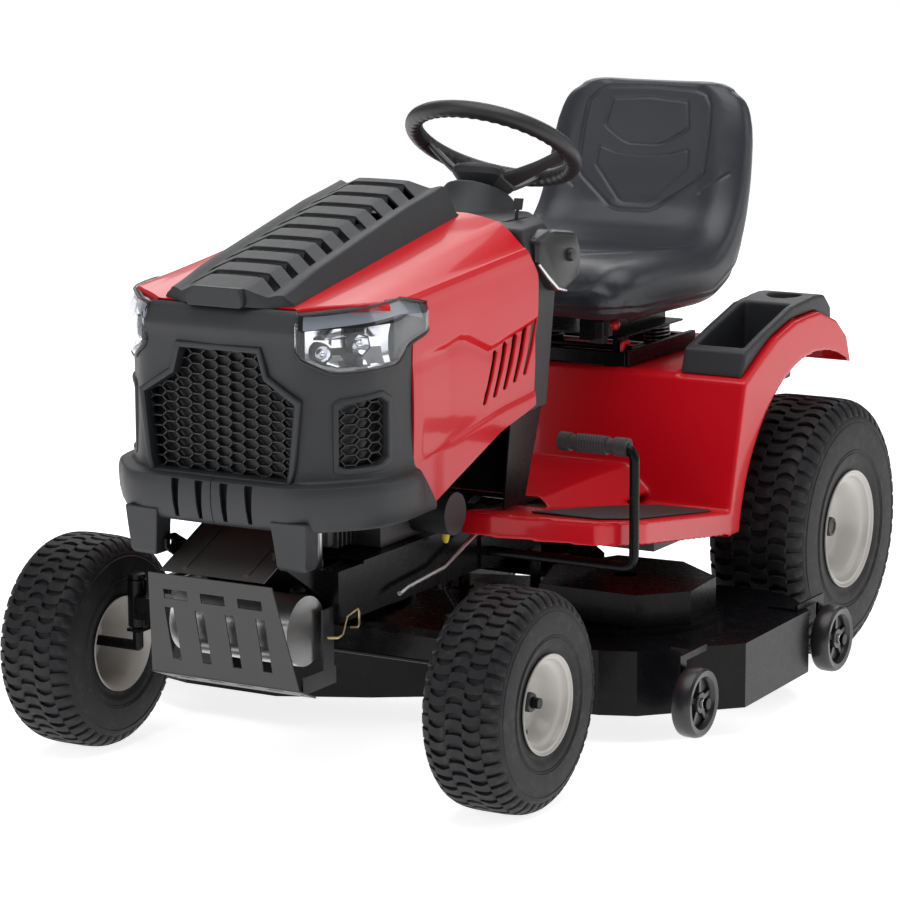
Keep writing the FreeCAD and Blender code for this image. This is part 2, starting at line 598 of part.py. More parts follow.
def grille_mesh():
    front = block(-138, 138, nose_y + 18, nose_y + 22, 566, 790)
    back_front = front.cut(prism([(70, 800), (70, 788), (92, 748), (138, 700), (150, 700), (150, 800)],
                                 "y", nose_y, nose_y + 30))
    back_front = back_front.cut(prism([(-70, 800), (-70, 788), (-92, 748), (-138, 700), (-150, 700), (-150, 800)],
                                      "y", nose_y, nose_y + 30))
    pitch = 27.0
    for row in range(7):
        for col in range(8):
            x = -104 + col * pitch + (pitch / 2 if row % 2 else 0)
            z = 590 + row * 25.0
            if abs(x) < 124 - max(0, z - 690) * 0.75:
                cell = prism([(x + 12 * math.cos(math.radians(60 * k)), z + 9 * math.sin(math.radians(60 * k)))
                              for k in range(6)], "y", nose_y, nose_y + 30)
                back_front = back_front.cut(cell)
    return back_front


feature("grille_mesh", grille_mesh())


def lamp_solid(inset, low, high):
    return loft_z([(low, nose_outline(nose_y + 7 + inset, 142, -594, inset)),
                   (high, nose_outline(nose_y + 18 + inset, 130, -594, inset))])


def headlight_lens():
    shell = lamp_solid(6, 762, 838).cut(lamp_solid(9, 750, 850))
    keep = block(140, 300, -900, -600, 760, 839)
    return shell.common(keep)


lens = headlight_lens()
feature("headlight_lenses", Part.makeCompound([lens, mirror(lens)]))


def headlight_housing():
    body = lamp_solid(11, 766, 834).cut(lamp_solid(34, 776, 824))
    keep = block(152, 300, -900, -606, 766, 834)
    return body.common(keep)


housing = headlight_housing()
feature("headlight_housings", Part.makeCompound([housing, mirror(housing)]))


def hood_section(y, inset):
    """Half cross section of the hood at a station along the length."""
    rise = (y - nose_y) / (val("hood_rear_y") - nose_y)
    crown = 850 + 100 * rise - inset
    shoulder = 846 + 92 * rise - inset
    edge = 838 + 57 * rise - inset
    side = hood_x - inset
    low = 400
    return [(128, crown), (196 - 0.5 * inset, shoulder), (side - 4, edge), (side, edge - 16), (side, low)]


def hood_shell():
    stations = [nose_y - 2, -640, -440, val("hood_rear_y")]
    outer = loft_y([(y, hood_section(y, 0)) for y in stations])
    inner = loft_y([(y, hood_section(y, skin)) for y in [stations[0] - 30] + stations[1:3] + [stations[3] + 30]])
    shell = outer.cut(inner)
    plan = prism(half_ring([(130, nose_y + 14), (hood_x + 1, cheek_y), (hood_x + 1, -100)]), "z", 300, 1100)
    shell = shell.common(plan)
    nose_cut = prism([(-900, 300), (-900, 839), (-596, 846), (-596, 764), (-630, 756), (-630, 574),
                      (-572, 490), (-177, 629), (-177, 300)], "x", -300, 300)
    shell = shell.cut(nose_cut)
    for index in range(5):
        y = -392 + 40 * index
        slot = prism([(y, 640 + 7 * index), (y + 9, 642 + 7 * index), (y + 32, 742 + 7 * index),
                      (y + 23, 740 + 7 * index)], "x", -300, 300)
        shell = shell.cut(slot)
    return shell.removeSplitter()


feature("hood_shell", hood_shell())


def scoop_section(y, inset):
    rise = (y + 826) / (val("scoop_rear_y") + 826)
    base = 851.5 + 102 * (y - nose_y) / (val("hood_rear_y") - nose_y)
    crown = 872 + 134 * rise - inset
    return [(86 - 0.5 * inset, crown), (126 - inset, base + 4 - inset * 0.3), (126 - inset, base - inset * 3)]


def hood_scoop():
    stations = [-826, -640, -440, val("scoop_rear_y")]
    outer = loft_y([(y, scoop_section(y, 0)) for y in stations])
    inner = loft_y([(y, scoop_section(y, 5)) for y in [-816, -640, -440, val("scoop_rear_y") - 8]])
    shell = outer.cut(inner)
    for index in range(9):
        y = -766 + 56 * index
        half = 56
        slot = prism([(-half, y), (-half + 14, y + 26), (half - 14, y + 26), (half, y), (half - 12, y - 4),
                      (-half + 12, y - 4)], "z", 850, 1020)
        shell = shell.cut(slot)
    return shell


feature("hood_scoop", hood_scoop())


# ------------------------------------------------------------- dash and column panel
def dash_outline(grow, front=-230):
    return {
        590: [(226 - grow, front), (222 - grow, -110), (150 - grow, -30 - grow)],
        880: [(246 - grow, front), (238 - grow, -96), (150 - grow, 42 - grow)],
        926: [(236 - grow, front), (214 - grow, -110), (120 - grow, 8 - grow)],
    }


def dash_tower():
    outer = loft_z([(z, half) for z, half in dash_outline(0).items()])
    inner_map = dash_outline(5, -225)
    inner = loft_z([(580, inner_map[590]), (876, inner_map[880]), (920, inner_map[926])])
    shell = outer.cut(inner)
    dome = on_column(Part.makeCone(112, 66, 130, V(0, 0, -152)))
    hollow = on_column(Part.makeCone(107, 60, 134, V(0, 0, -160)))
    dome = dome.cut(hollow).cut(inner)
    shell = shell.cut(hollow)
    whole = fuse_all([shell, dome])
    bore = on_column(tube(val("column_r") + 0.5, (0, 0, -700), (0, 0, 0)))
    key_hole = tube(9.1, (176, -80, 560), (176, -80, 960))
    return whole.cut(bore).cut(tube(9.1, (-170, -80, 800), (-170, -80, 960))).cut(
        block(152, 160, -150, -60, 870, 960)).cut(tube(9.1, (-120, -60, 860), (-120, -60, 960)))


feature("dash_tower", dash_tower())


def column_panel():
    outer = loft_z([(418, [(198, -226), (198, -150), (150, -96)]), (588, [(214, -228), (212, -112), (148, -34)])])
    inner = loft_z([(414, [(195, -300), (195, -152), (148, -99)]), (592, [(211, -300), (209, -114), (146, -37)])])
    return outer.cut(inner)


feature("column_panel", column_panel())
throttle_stem = box("throttle_stem", (5, 10, 110), (153.5, -110, 850))
throttle_grip = box("throttle_grip", (15, 16, 26), (148.5, -113, 946))
throttle_boss = rod("throttle_boss", 8, 15, (148.5, -105, 850), "x")
finish("throttle_lever", join("throttle_lever_all", [throttle_stem, throttle_grip, throttle_boss]))
pto_stem = rod("pto_stem", 9, 60, (-170, -80, 880))
pto_head = rod("pto_head", 17, 14, (-170, -80, 938))
finish("pto_knob", join("pto_knob_all", [pto_stem, pto_head]))
key_barrel = rod("key_barrel", 9, 56, (-120, -60, 878))
key_bow = box("key_bow", (22, 3, 24), (-131, -61.5, 932))
finish("ignition_key", join("ignition_key_all", [key_barrel, key_bow]))


# ------------------------------------------------------------- fender body
fx = val("fender_x")
ft = val("fender_t")
fin = val("fender_in_x")
wall_y = val("wall_y")
plateau = val("plateau_z")
FENDER_CURVE = [(300, 586), (374, 622), (440, 652), (531, 674), (639, 678), (722, 650), (774, 611), (796, 556)]


def lowered(curve, drop):
    """Curve moved inward toward the rear axle by a drop."""
    centre = (val("rear_axle_y"), val("rear_tyre_r"))
    out = []
    for y, z in curve:
        dy, dz = centre[0] - y, centre[1] - z
        size = math.hypot(dy, dz)
        out.append((y + dy / size * drop, z + dz / size * drop))
    return out


def arch_points(radius, low_z, end_y, count):
    """Points of the wheel arch, from low at the front over the tyre to the rear end."""
    cy, cz = val("rear_axle_y"), val("rear_tyre_r")
    first = math.pi - math.asin((low_z - cz) / radius)
    last = math.acos((end_y - cy) / radius)
    out = []
    for index in range(count + 1):
        angle = first + (last - first) * index / count
        out.append((cy + radius * math.cos(angle), cz + radius * math.sin(angle)))
    return out


def fender_half():
    front_z, rear_z = val("board_front_z"), val("board_rear_z")
    slope = (rear_z - front_z) / (wall_y + 290.0)
    plan = [(146, -290), (205, -290), (388, -231), (412, -180), (fx, -110), (fx, wall_y + 4), (146, wall_y + 4)]

    def sloped(thick_top, thick_low):
        side = [(-300, front_z - thick_top + slope * -10), (wall_y + 10, rear_z - thick_top + slope * 10),
                (wall_y + 10, rear_z - thick_low + slope * 10), (-300, front_z - thick_low + slope * -10)]
        return prism(side, "x", 0, 500)

    board = prism(plan, "z", 280, 460).common(sloped(0, 4))
    inner_plan = [(140, -286), (204, -286), (384, -227), (408, -178), (fx - 4, -109), (fx - 4, wall_y + 10),
                  (140, wall_y + 10)]
    lip = prism(plan, "z", 280, 460).cut(prism(inner_plan, "z", 270, 470)).common(sloped(0, 46))
    curve = FENDER_CURVE
    top_y = curve[0][0]
    lean = [(wall_y, 300), (wall_y + 4, 300), (wall_y + 4, 352), (top_y + 4, 586), (top_y + 12, plateau),
            (top_y + 12, plateau + 4), (top_y, plateau - 4), (wall_y, 353)]
    front_wall = prism(lean, "x", 146, fin + 4)
    lean_high = [(wall_y + 12, 400), (wall_y + 16, 400)] + lean[3:7]
    centre_wall = prism(lean_high, "x", 0, 147)
    outer_wall = prism([(wall_y, 300), (wall_y + 4, 300), (wall_y + 4, 352), (top_y + 4, 584),
                        (top_y, 586), (wall_y, 353)], "x", fin, fx)
    deck_plate = block(0, fin + 4, top_y + 8, val("plateau_rear_y"), plateau, plateau + 4)
    under = lowered(curve, ft)
    top_band = prism(curve + list(reversed(under)), "x", fin, fx)
    arch = arch_points(val("arch_r"), 303, 797, 24)
    flange = prism([(wall_y, 303), (wall_y, 353)] + curve + list(reversed(arch)), "x", fx - 4, fx)
    step = prism(curve[:6] + [(top_y, plateau - 4)], "x", fin, fin + 4)
    apron = block(0, fin + 4, val("plateau_rear_y") - 4, val("plateau_rear_y"), 540, plateau + 4)
    side_wall = block(fin, fin + 4, top_y + 4, val("plateau_rear_y"), 540, plateau + 2)
    tunnel = prism([(0, 417), (198, 417), (252, 370), (248, 366), (196, 413), (0, 413)], "y", -90, wall_y + 20)
    pieces = [board, lip, front_wall, centre_wall, outer_wall, deck_plate, top_band, flange, step, apron,
              side_wall, tunnel]
    return fuse_all(pieces)


def fender_body():
    half = fender_half()
    whole = fuse_all([half, mirror(half)])
    pocket = block(294, 402, 339, 566, 552, 730)
    whole = whole.cut(pocket).cut(mirror(pocket))
    lever_slot = block(-286, -265, 180, 420, 330, 680)
    whole = whole.cut(lever_slot)
    ly, lz = val("lift_y"), val("lift_z")
    whole = whole.cut(tube(10.5, (-292, ly, lz), (156, ly, lz)))
    y, z = val("seat_hinge_y"), val("seat_hinge_z")
    lugs = both(block(150, 160, y - 18, y + 18, plateau + 2, z + 16))
    whole = fuse_all([whole, lugs])
    return whole.cut(tube(6 + val("fit_gap"), (-200, y, z), (200, y, z)))


feature("fender_body", fender_body())


def tray(side):
    top = [(312, 596), (328, 640), (420, 668), (540, 700), (652, 708), (690, 704), (722, 676), (724, 650.5)]
    under = [(722, 650.5), (639, 678.5), (531, 674.5), (440, 652.5), (374, 622.5), (312, 592.5)]
    body = prism(top + under[1:], "x", 283, 412)
    well = block(296, 400, 341, 564, 556, 676)
    hollow = block(300, 396, 345, 560, 560, 760)
    cup = tube(34, (348, 640, 688), (348, 640, 760))
    keep = prism([(280, 540), (312, 596), (328, 640), (420, 668), (540, 700), (652, 708), (690, 704), (722, 676),
                  (724, 540)], "x", 200, 500)
    whole = fuse_all([body, well.common(keep)]).cut(hollow).cut(cup)
    return whole if side > 0 else mirror(whole)


feature("fender_tray_left", tray(1))
feature("fender_tray_right", tray(-1))


def foot_mat():
    slope = (val("board_rear_z") - val("board_front_z")) / (wall_y + 290.0)
    plan = [(242, -207), (372, -196), (408, -120), (408, 196), (300, 188), (262, 60)]
    slab = prism(plan, "z", 340, 470)
    low = val("board_front_z") + slope * (-300 + 290) + 0.3
    high = val("board_front_z") + slope * (220 + 290) + 0.3
    return slab.common(prism([(-300, low), (220, high), (220, high + 4), (-300, low + 4)], "x", 100, 500))


mat = foot_mat()
pedal_notch = block(-336, -190, -144, -96, 370, 440)
feature("foot_mats", Part.makeCompound([mat, mirror(mat).cut(pedal_notch)]))


# ------------------------------------------------------------- seat
def seat_bracket():
    y, z = val("seat_hinge_y"), val("seat_hinge_z")
    pin = tube(6, (-172, y, z), (172, y, z))
    knuckles = [block(x - 5, x + 5, y - 12, y + 34, z - 9, z + 20) for x in (-140, 140)]
    pan = block(-146, 146, y + 20, 600, z + 17, z + 21)
    rails = [block(x - 12, x + 12, y - 60, 590, z + 20, 692) for x in (-100, 100)]
    springs = [tube(26, (x, 540, val("plateau_z") + 5), (x, 540, z + 18)) for x in (-118, 118)]
    return fuse_all([pin, pan] + knuckles + rails + springs)


feature("seat_bracket", seat_bracket())


def seat_cushion():
    half = val("seat_w") / 2.0
    side = [(236, 716), (218, 742), (220, 772), (250, 800), (330, 812), (520, 796), (580, 800), (622, 850),
            (668, 960), (700, 1060), (718, 1106), (738, 1119), (762, 1112), (776, 1080), (772, 960), (744, 820),
            (700, 752), (640, 716)]
    body = prism(side, "x", -half, half)
    front = [(-half + 22, 700), (half - 22, 700), (half, 740), (half, 800), (half - 12, 960), (half - 24, 1040),
             (half - 52, 1094), (half - 92, 1121), (-half + 92, 1121), (-half + 52, 1094), (-half + 24, 1040),
             (-half + 12, 960), (-half, 800), (-half, 740)]
    body = body.common(prism(front, "y", 200, 800))
    plan = [(-half + 50, 215), (half - 50, 215), (half - 14, 236), (half, 290), (half, 780), (-half, 780),
            (-half, 290), (-half + 14, 236)]
    body = body.common(prism(plan, "z", 690, 1130))
    runners = [block(x - 14, x + 14, 310, 540, 700, 717) for x in (-100, 100)]
    channel = [block(x - 14, x + 14, 310, 540, 692.6, 700) for x in (-100, 100)]
    return fuse_all([body] + runners + channel)


feature("seat_cushion", seat_cushion())


# ------------------------------------------------------------- pedals and lift lever
def brake_lever():
    x, y = val("pedal_x"), val("pedal_y")
    low, top, r = val("pedal_low_z"), val("pedal_top_z"), val("rod_r")
    cross = tube(r, (130, y, low), (x, y, low))
    post = tube(r, (x, y, low), (x, y, top))
    bar = tube(r, (x, y, top), (300, y, top))
    knees = [Part.makeSphere(r, V(x, y, z)) for z in (low, top)]
    return fuse_all([cross, post, bar] + knees)


feature("brake_pedal_lever", brake_lever())
pad_tube = rod("pad_tube", 17, 138, (288, "<pedal_y>", "<pedal_top_z>"), "x")
pad_bore = rod("pad_bore", "<rod_r>+0.05", 160, (299, "<pedal_y>", "<pedal_top_z>"), "x")
finish("brake_pedal_pad", trim("brake_pedal_pad_cut", pad_tube, [pad_bore]))


def drive_pedal():
    pivot = V(-270, -120, 436)
    axle = tube(7, (-320, pivot.y, pivot.z), (-220, pivot.y, pivot.z))
    forward = block(-312, -250, -216, -126, 440, 448)
    reverse = block(-300, -262, -126, -40, 440, 448)
    web = block(-290, -272, -200, -60, 430, 441)
    return fuse_all([axle, forward, reverse, web])


def drive_stand():
    ears = [block(x - 4, x + 4, -136, -104, 403.2, 448) for x in (-325, -215)]
    stand = fuse_all(ears + [block(-329, -211, -136, -104, 403.2, 408)])
    return stand.cut(tube(7.06, (-340, -120, 436), (-200, -120, 436)))


feature("drive_pedal", drive_pedal())
feature("drive_pedal_stand", drive_stand())


def lift_lever():
    y, z = val("lift_y"), val("lift_z")
    shaft = tube(9, (-280, y, z), (150, y, z))
    handle = block(-280, -270, y - 12, y + 12, z - 14, 770)
    grip = tube(15, (-275, y, 766), (-275, y, 850))
    drop = math.radians(15)
    reach = val("lift_arm")
    pieces = [shaft, handle, grip]
    for x in (-92, 86):
        arm = block(x, x + 6, y - reach - 9, y, z - 8, z + 8)
        arm.rotate(V(x, y, z), V(1, 0, 0), 15)
        pieces.append(arm)
    py = y - reach * math.cos(drop)
    pz = z - reach * math.sin(drop)
    pieces.append(tube(5, (-92, py, pz), (-72, py, pz)))
    pieces.append(tube(5, (72, py, pz), (92, py, pz)))
    return fuse_all(pieces)


feature("lift_lever", lift_lever())

# ------------------------------------------------------------- mower deck
DECK_PLAN = [(586, -28), (580, 262), (500, 352), (440, 369), (282, 369), (140, 346), (-10, 262), (-150, 214), (-294, 232),
             (-480, 172), (-596, 66), (-596, -226), (-480, -352), (-394, -376), (-196, -376), (-40, -300),
             (60, -236), (200, -222), (379, -204), (443, -178)]


def inset_plan(amount):
    """Deck plan moved inward along the mean of its edge directions."""
    count = len(DECK_PLAN)
    out = []
    for index in range(count):
        p0, p1, p2 = DECK_PLAN[index - 1], DECK_PLAN[index], DECK_PLAN[(index + 1) % count]
        n1 = V(-(p1[1] - p0[1]), p1[0] - p0[0], 0)
        n2 = V(-(p2[1] - p1[1]), p2[0] - p1[0], 0)
        n1.normalize()
        n2.normalize()
        mean = n1 + n2
        scale = amount / (1 + n1.dot(n2))
        out.append((p1[0] + mean.x * scale, p1[1] + mean.y * scale))
    return out


def deck_shell():
    low, top, t = val("deck_low_z"), val("deck_top_z"), val("deck_t")
    skirt = prism(DECK_PLAN, "z", low, top).cut(prism(inset_plan(t), "z", low - 5, top - t))
    pieces = [skirt]
    for tag in ("l", "r"):
        x, y = val("spindle_%s_x" % tag), val("spindle_%s_y" % tag)
        pieces.append(tube(190, (x, y, top - 1), (x, y, top + 10)))
        pieces.append(tube(34, (x, y, top - 60), (x, y, top + 16)))
    whole = fuse_all(pieces)
    for tag in ("l", "r"):
        x, y = val("spindle_%s_x" % tag), val("spindle_%s_y" % tag)
        whole = whole.cut(tube(12.5 + val("fit_gap"), (x, y, 0), (x, y, 260)))
    chute = block(-620, -560, -200, 40, low - 5, top - 12)
    ears = [block(-614, -594, y, y + 7, top - 20, top + 14) for y in (-224, 57)]
    whole = fuse_all([whole.cut(chute)] + ears)
    return whole.cut(tube(4.06, (-606, -240, top + 6), (-606, 80, top + 6)))


feature("deck_shell", deck_shell())


def deck_covers():
    low, top = val("deck_top_z") + 10.2, 246
    plan_l = [(380, -60), (452, 20), (440, 150), (330, 236), (196, 226), (130, 90), (180, -60)]
    solids = []
    for sign in (1, -1):
        if sign > 0:
            outer = prism(plan_l, "z", low, top)
            inner = prism([(282 + (x - 282) * 0.975, 88 + (y - 88) * 0.975) for x, y in plan_l], "z", low - 1, top - 3)
            hole = tube(22, (282, 88, top - 6), (282, 88, top + 6))
            solids.append(outer.cut(inner).cut(hole))
        else:
            plan_r = [(-12 - x, 10 - y) for x, y in plan_l]
            outer = prism(plan_r, "z", low, top)
            inner = prism([(-294 + (x + 294) * 0.975, -78 + (y + 78) * 0.975) for x, y in plan_r],
                          "z", low - 1, top - 3)
            hole = tube(22, (-294, -78, top - 6), (-294, -78, top + 6))
            solids.append(outer.cut(inner).cut(hole))
    return Part.makeCompound(solids)


feature("deck_covers", deck_covers())


def deck_hangers():
    y = val("lift_y") - val("lift_arm") * math.cos(math.radians(15))
    z = val("lift_z") - val("lift_arm") * math.sin(math.radians(15))
    top = val("deck_top_z")
    solids = []
    for x in (-80, 76):
        tab = block(x, x + 4, y - 18, y + 18, top + 0.2, z + 18)
        foot = block(x - 14, x + 14, y - 18, y + 18, top + 0.2, top + 3.2)
        solids.append(fuse_all([tab, foot]).cut(tube(9.5, (x - 20, y, z), (x + 20, y, z))))
    gauge = val("gauge_z")
    for gx, gy, foot_x, foot_y, sign in ((570, -202, 520, -120, 1), (590, 345, 540, 250, 1),
                                         (-604, -330, -540, -240, -1), (-566, 196, -530, 80, -1)):
        wide = val("gauge_w") / 2 + 4
        plate_x = gx - sign * wide
        strap = block(min(plate_x, plate_x - sign * 5), max(plate_x, plate_x - sign * 5),
                      min(gy, foot_y) - 12, max(gy, foot_y) + 12, top + 0.2, top + 12)
        leg = block(min(plate_x, plate_x - sign * 5), max(plate_x, plate_x - sign * 5),
                    gy - 12, gy + 12, gauge - 14, top + 12)
        inner_x = plate_x - sign * 60
        foot = block(min(inner_x, plate_x), max(inner_x, plate_x), foot_y - 12, foot_y + 12, top + 0.2, top + 4)
        axle = tube(6, (plate_x - sign * 5, gy, gauge), (gx + sign * (wide + 1), gy, gauge))
        head = tube(10, (gx + sign * (wide - 2.5), gy, gauge), (gx + sign * (wide + 4), gy, gauge))
        solids.append(fuse_all([strap, leg, foot, axle, head]))
    return Part.makeCompound(solids)


feature("deck_hangers", deck_hangers())

for tag, side in (("l", "left"), ("r", "right")):
    x = "<spindle_%s_x>" % tag
    y = "<spindle_%s_y>" % tag
    bar = box("blade_bar_" + side, ("<blade_len>", "<blade_w>", 4),
              (x + "-<blade_len>/2", y + "-<blade_w>/2", "<blade_z>"))
    shaft = rod("blade_shaft_" + side, 12.5, 160, (x, y, "<blade_z>-6"))
    nut = rod("blade_nut_" + side, 18, 8, (x, y, "<blade_z>-8"))
    spacer = rod("blade_spacer_" + side, 22, 26, (x, y, "<blade_z>+4"))
    sheave = rod("blade_sheave_" + side, 62, 20, (x, y, "<deck_top_z>+26"))
    wing_a = box("blade_wing_a_" + side, (70, 5, 22), (x + "-<blade_len>/2", y + "+<blade_w>/2-5", "<blade_z>"))
    wing_b = box("blade_wing_b_" + side, (70, 5, 22), (x + "+<blade_len>/2-70", y + "-<blade_w>/2", "<blade_z>"))
    finish("blade_" + side, join("blade_" + side + "_all", [bar, shaft, nut, spacer, sheave, wing_a, wing_b]))

GAUGES = [("front_left", 570, -202), ("rear_left", 590, 345), ("front_right", -604, -330),
          ("rear_right", -566, 196)]
for tag, x, y in GAUGES:
    disc = rod("gauge_disc_" + tag, "<gauge_r>", "<gauge_w>", ("%d-<gauge_w>/2" % x, y, "<gauge_z>"), "x")
    bore = rod("gauge_bore_" + tag, "6+<fit_gap>", 60, (x - 30, y, "<gauge_z>"), "x")
    dish_out = rod("gauge_dish_" + tag, 44, 12, ("%d+<gauge_w>/2-12" % x, y, "<gauge_z>"), "x")
    keep_hub = rod("gauge_hub_" + tag, 15, 12, ("%d+<gauge_w>/2-12" % x, y, "<gauge_z>"), "x")
    ring_cut = trim("gauge_ring_" + tag, dish_out, [keep_hub])
    finish("gauge_wheel_" + tag, trim("gauge_cut_" + tag, disc, [join("gauge_tool_" + tag, [bore, ring_cut])]))


def deflector():
    top = val("deck_top_z")
    plate_shape = prism([(-606, top + 2), (-826, 84), (-830, 88), (-608, top + 7)], "y", -214, 54)
    walls = [prism([(-612, top), (-826, 86), (-826, 70), (-640, 110)], "y", y, y + 4) for y in (-214, 50)]
    barrel = tube(8, (-606, -214, top + 6), (-606, 54, top + 6))
    pin = tube(4, (-606, -234, top + 6), (-606, 74, top + 6))
    return fuse_all([plate_shape, barrel, pin] + walls)


feature("discharge_deflector", deflector())


# ------------------------------------------------------------- check and export
doc.recompute()
os.makedirs("parts", exist_ok=True)
faults = []
for obj in doc.Objects:
    if "Invalid" in obj.State or "Error" in obj.State:
        faults.append("%s %s" % (obj.Name, obj.State))
labels = set()
for obj in FINISHED:
    shape = obj.Shape
    if shape.isNull() or not shape.isValid() or shape.Volume <= 0 or not shape.Solids:
        faults.append("%s shape null=%s valid=%s" % (obj.Label, shape.isNull(), shape.isValid()))
        continue
    labels.add(obj.Label)
    shape.exportStep("parts/%s.step" % obj.Label)
    print("%-24s solids %d volume %.0f" % (obj.Label, len(shape.Solids), shape.Volume))
if faults:
    raise RuntimeError("; ".join(faults))
print("sub-parts", len(labels))
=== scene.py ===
import json
import math
import bpy
import bmesh
import numpy as np
from mathutils import Matrix, Vector


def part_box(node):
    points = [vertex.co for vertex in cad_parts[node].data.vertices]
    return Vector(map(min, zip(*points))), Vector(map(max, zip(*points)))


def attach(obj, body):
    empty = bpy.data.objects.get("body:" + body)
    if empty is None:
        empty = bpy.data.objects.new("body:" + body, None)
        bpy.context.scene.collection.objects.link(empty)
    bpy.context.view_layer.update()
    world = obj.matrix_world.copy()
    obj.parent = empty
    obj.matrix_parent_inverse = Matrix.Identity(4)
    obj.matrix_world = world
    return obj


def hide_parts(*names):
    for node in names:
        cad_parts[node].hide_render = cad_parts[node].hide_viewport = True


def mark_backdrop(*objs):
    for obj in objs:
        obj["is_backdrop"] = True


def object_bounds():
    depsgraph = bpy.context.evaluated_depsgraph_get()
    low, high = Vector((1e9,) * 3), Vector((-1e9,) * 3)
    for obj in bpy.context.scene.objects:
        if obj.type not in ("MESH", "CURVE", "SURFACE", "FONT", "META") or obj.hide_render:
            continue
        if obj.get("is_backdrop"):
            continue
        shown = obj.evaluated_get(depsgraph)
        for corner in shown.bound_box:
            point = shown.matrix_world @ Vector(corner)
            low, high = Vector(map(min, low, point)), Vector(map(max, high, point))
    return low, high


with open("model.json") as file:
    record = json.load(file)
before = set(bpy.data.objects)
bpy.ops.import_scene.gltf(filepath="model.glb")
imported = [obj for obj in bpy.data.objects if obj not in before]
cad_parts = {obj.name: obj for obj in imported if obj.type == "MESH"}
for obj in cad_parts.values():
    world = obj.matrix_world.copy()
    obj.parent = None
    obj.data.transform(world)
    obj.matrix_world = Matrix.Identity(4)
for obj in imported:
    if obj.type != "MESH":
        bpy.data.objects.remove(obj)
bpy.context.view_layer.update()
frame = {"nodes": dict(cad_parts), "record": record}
NODES = frame["nodes"]
scene = bpy.context.scene
frame_low, frame_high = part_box("chassis_frame")
DX = (frame_low.x + frame_high.x) / 2  # the tractor's centreline in the row frame
MM = 0.001


def mm(*values):
    """Millimetres to metres."""
    return tuple(v * MM for v in values)


# ------------------------------------------------------------------ materials
def new_node(tree, kind, inputs, **settings):
    """Shader node with its inputs set to values or joined to other nodes' sockets."""
    made = tree.nodes.new("ShaderNode" + kind)
    for name, value in settings.items():
        setattr(made, name, value)
    for name, value in inputs.items():
        if isinstance(value, bpy.types.NodeSocket):
            tree.links.new(value, made.inputs[name])
        else:
            made.inputs[name].default_value = value
    return made


def noise(tree, scale, detail=3.0, rough=0.55):
    """Output of a noise pattern fixed to the object."""
    coord = tree.nodes.new("ShaderNodeTexCoord").outputs["Object"]
    return new_node(tree, "TexNoise",
                    {"Scale": scale, "Detail": detail, "Roughness": rough, "Vector": coord}).outputs["Fac"]


def start_mat(name, values):
    """Empty material; its tree and its shader with the given inputs set."""
    mat = bpy.data.materials.new(name)
    mat.use_nodes = True
    shader = mat.node_tree.nodes["Principled BSDF"]
    for key, value in values.items():
        shader.inputs[key].default_value = value
    return mat, mat.node_tree, shader


def make_mat(name, color, rough=0.4, metal=0.0, coat=0.0, coat_rough=0.06, var=0.08, var_scale=5.0,
             rough_var=0.06, bump=0.0, bump_scale=400.0, grain="noise", spec=0.5, dust=0.0):
    """Painted, moulded or bare surface: colour variation, uneven roughness, fine bump and a film of dust."""
    mat, tree, shader = start_mat(name, {"Metallic": metal, "Specular IOR Level": spec, "Coat Weight": coat,
                                         "Coat Roughness": coat_rough})
    low = (*[c * (1 - var) for c in color], 1)
    high = (*[min(1, c * (1 + var)) for c in color], 1)
    shade = new_node(tree, "Mix", {"A": low, "B": high, "Factor": noise(tree, var_scale, 4.0)},
                     data_type="RGBA").outputs["Result"]
    if dust > 0:
        amount = new_node(tree, "MapRange", {"From Min": 0.52, "From Max": 0.78, "To Max": dust,
                                             "Value": noise(tree, 38.0, 6.0, 0.7)}).outputs["Result"]
        shade = new_node(tree, "Mix", {"A": shade, "B": (0.30, 0.29, 0.27, 1), "Factor": amount},
                         data_type="RGBA").outputs["Result"]
    tree.links.new(shade, shader.inputs["Base Color"])
    band = new_node(tree, "MapRange",
                    {"To Min": max(0.02, rough - rough_var), "To Max": min(1.0, rough + rough_var),
                     "Value": noise(tree, var_scale * 9, 5.0, 0.65)})
    tree.links.new(band.outputs["Result"], shader.inputs["Roughness"])
    if bump > 0:
        if grain == "cells":
            coord = tree.nodes.new("ShaderNodeTexCoord").outputs["Object"]
            height = new_node(tree, "TexVoronoi", {"Scale": bump_scale, "Vector": coord}).outputs["Distance"]
        else:
            height = noise(tree, bump_scale)
        push = new_node(tree, "Bump", {"Strength": bump, "Distance": 0.0006, "Height": height})
        tree.links.new(push.outputs["Normal"], shader.inputs["Normal"])
    return mat


RED = make_mat("red_paint", (0.60, 0.004, 0.012), 0.32, coat=0.36, coat_rough=0.07, spec=0.22, var=0.06,
               var_scale=3, rough_var=0.04, bump=0.05, bump_scale=260)
BLACK = make_mat("black_paint", (0.004, 0.004, 0.005), 0.28, coat=0.06, coat_rough=0.12, spec=0.12, var=0.25,
                 rough_var=0.08, bump=0.08, bump_scale=240, dust=0.02)
CHARCOAL = make_mat("charcoal_plastic", (0.021, 0.022, 0.025), 0.50, var=0.07, rough_var=0.07, bump=0.35,
                    bump_scale=1500)
TYRE = make_mat("tyre_rubber", (0.010, 0.010, 0.012), 0.58, spec=0.3, var=0.25, var_scale=14, rough_var=0.12,
                bump=0.3, bump_scale=700, dust=0.10)
RIM = make_mat("rim_paint", (0.47, 0.45, 0.42), 0.36, coat=0.25, var=0.05, var_scale=9, rough_var=0.08,
               bump=0.06, bump_scale=300)
RUBBER = make_mat("rubber", (0.022, 0.022, 0.024), 0.62, var=0.2, var_scale=20, rough_var=0.1, bump=0.3,
                  bump_scale=900)
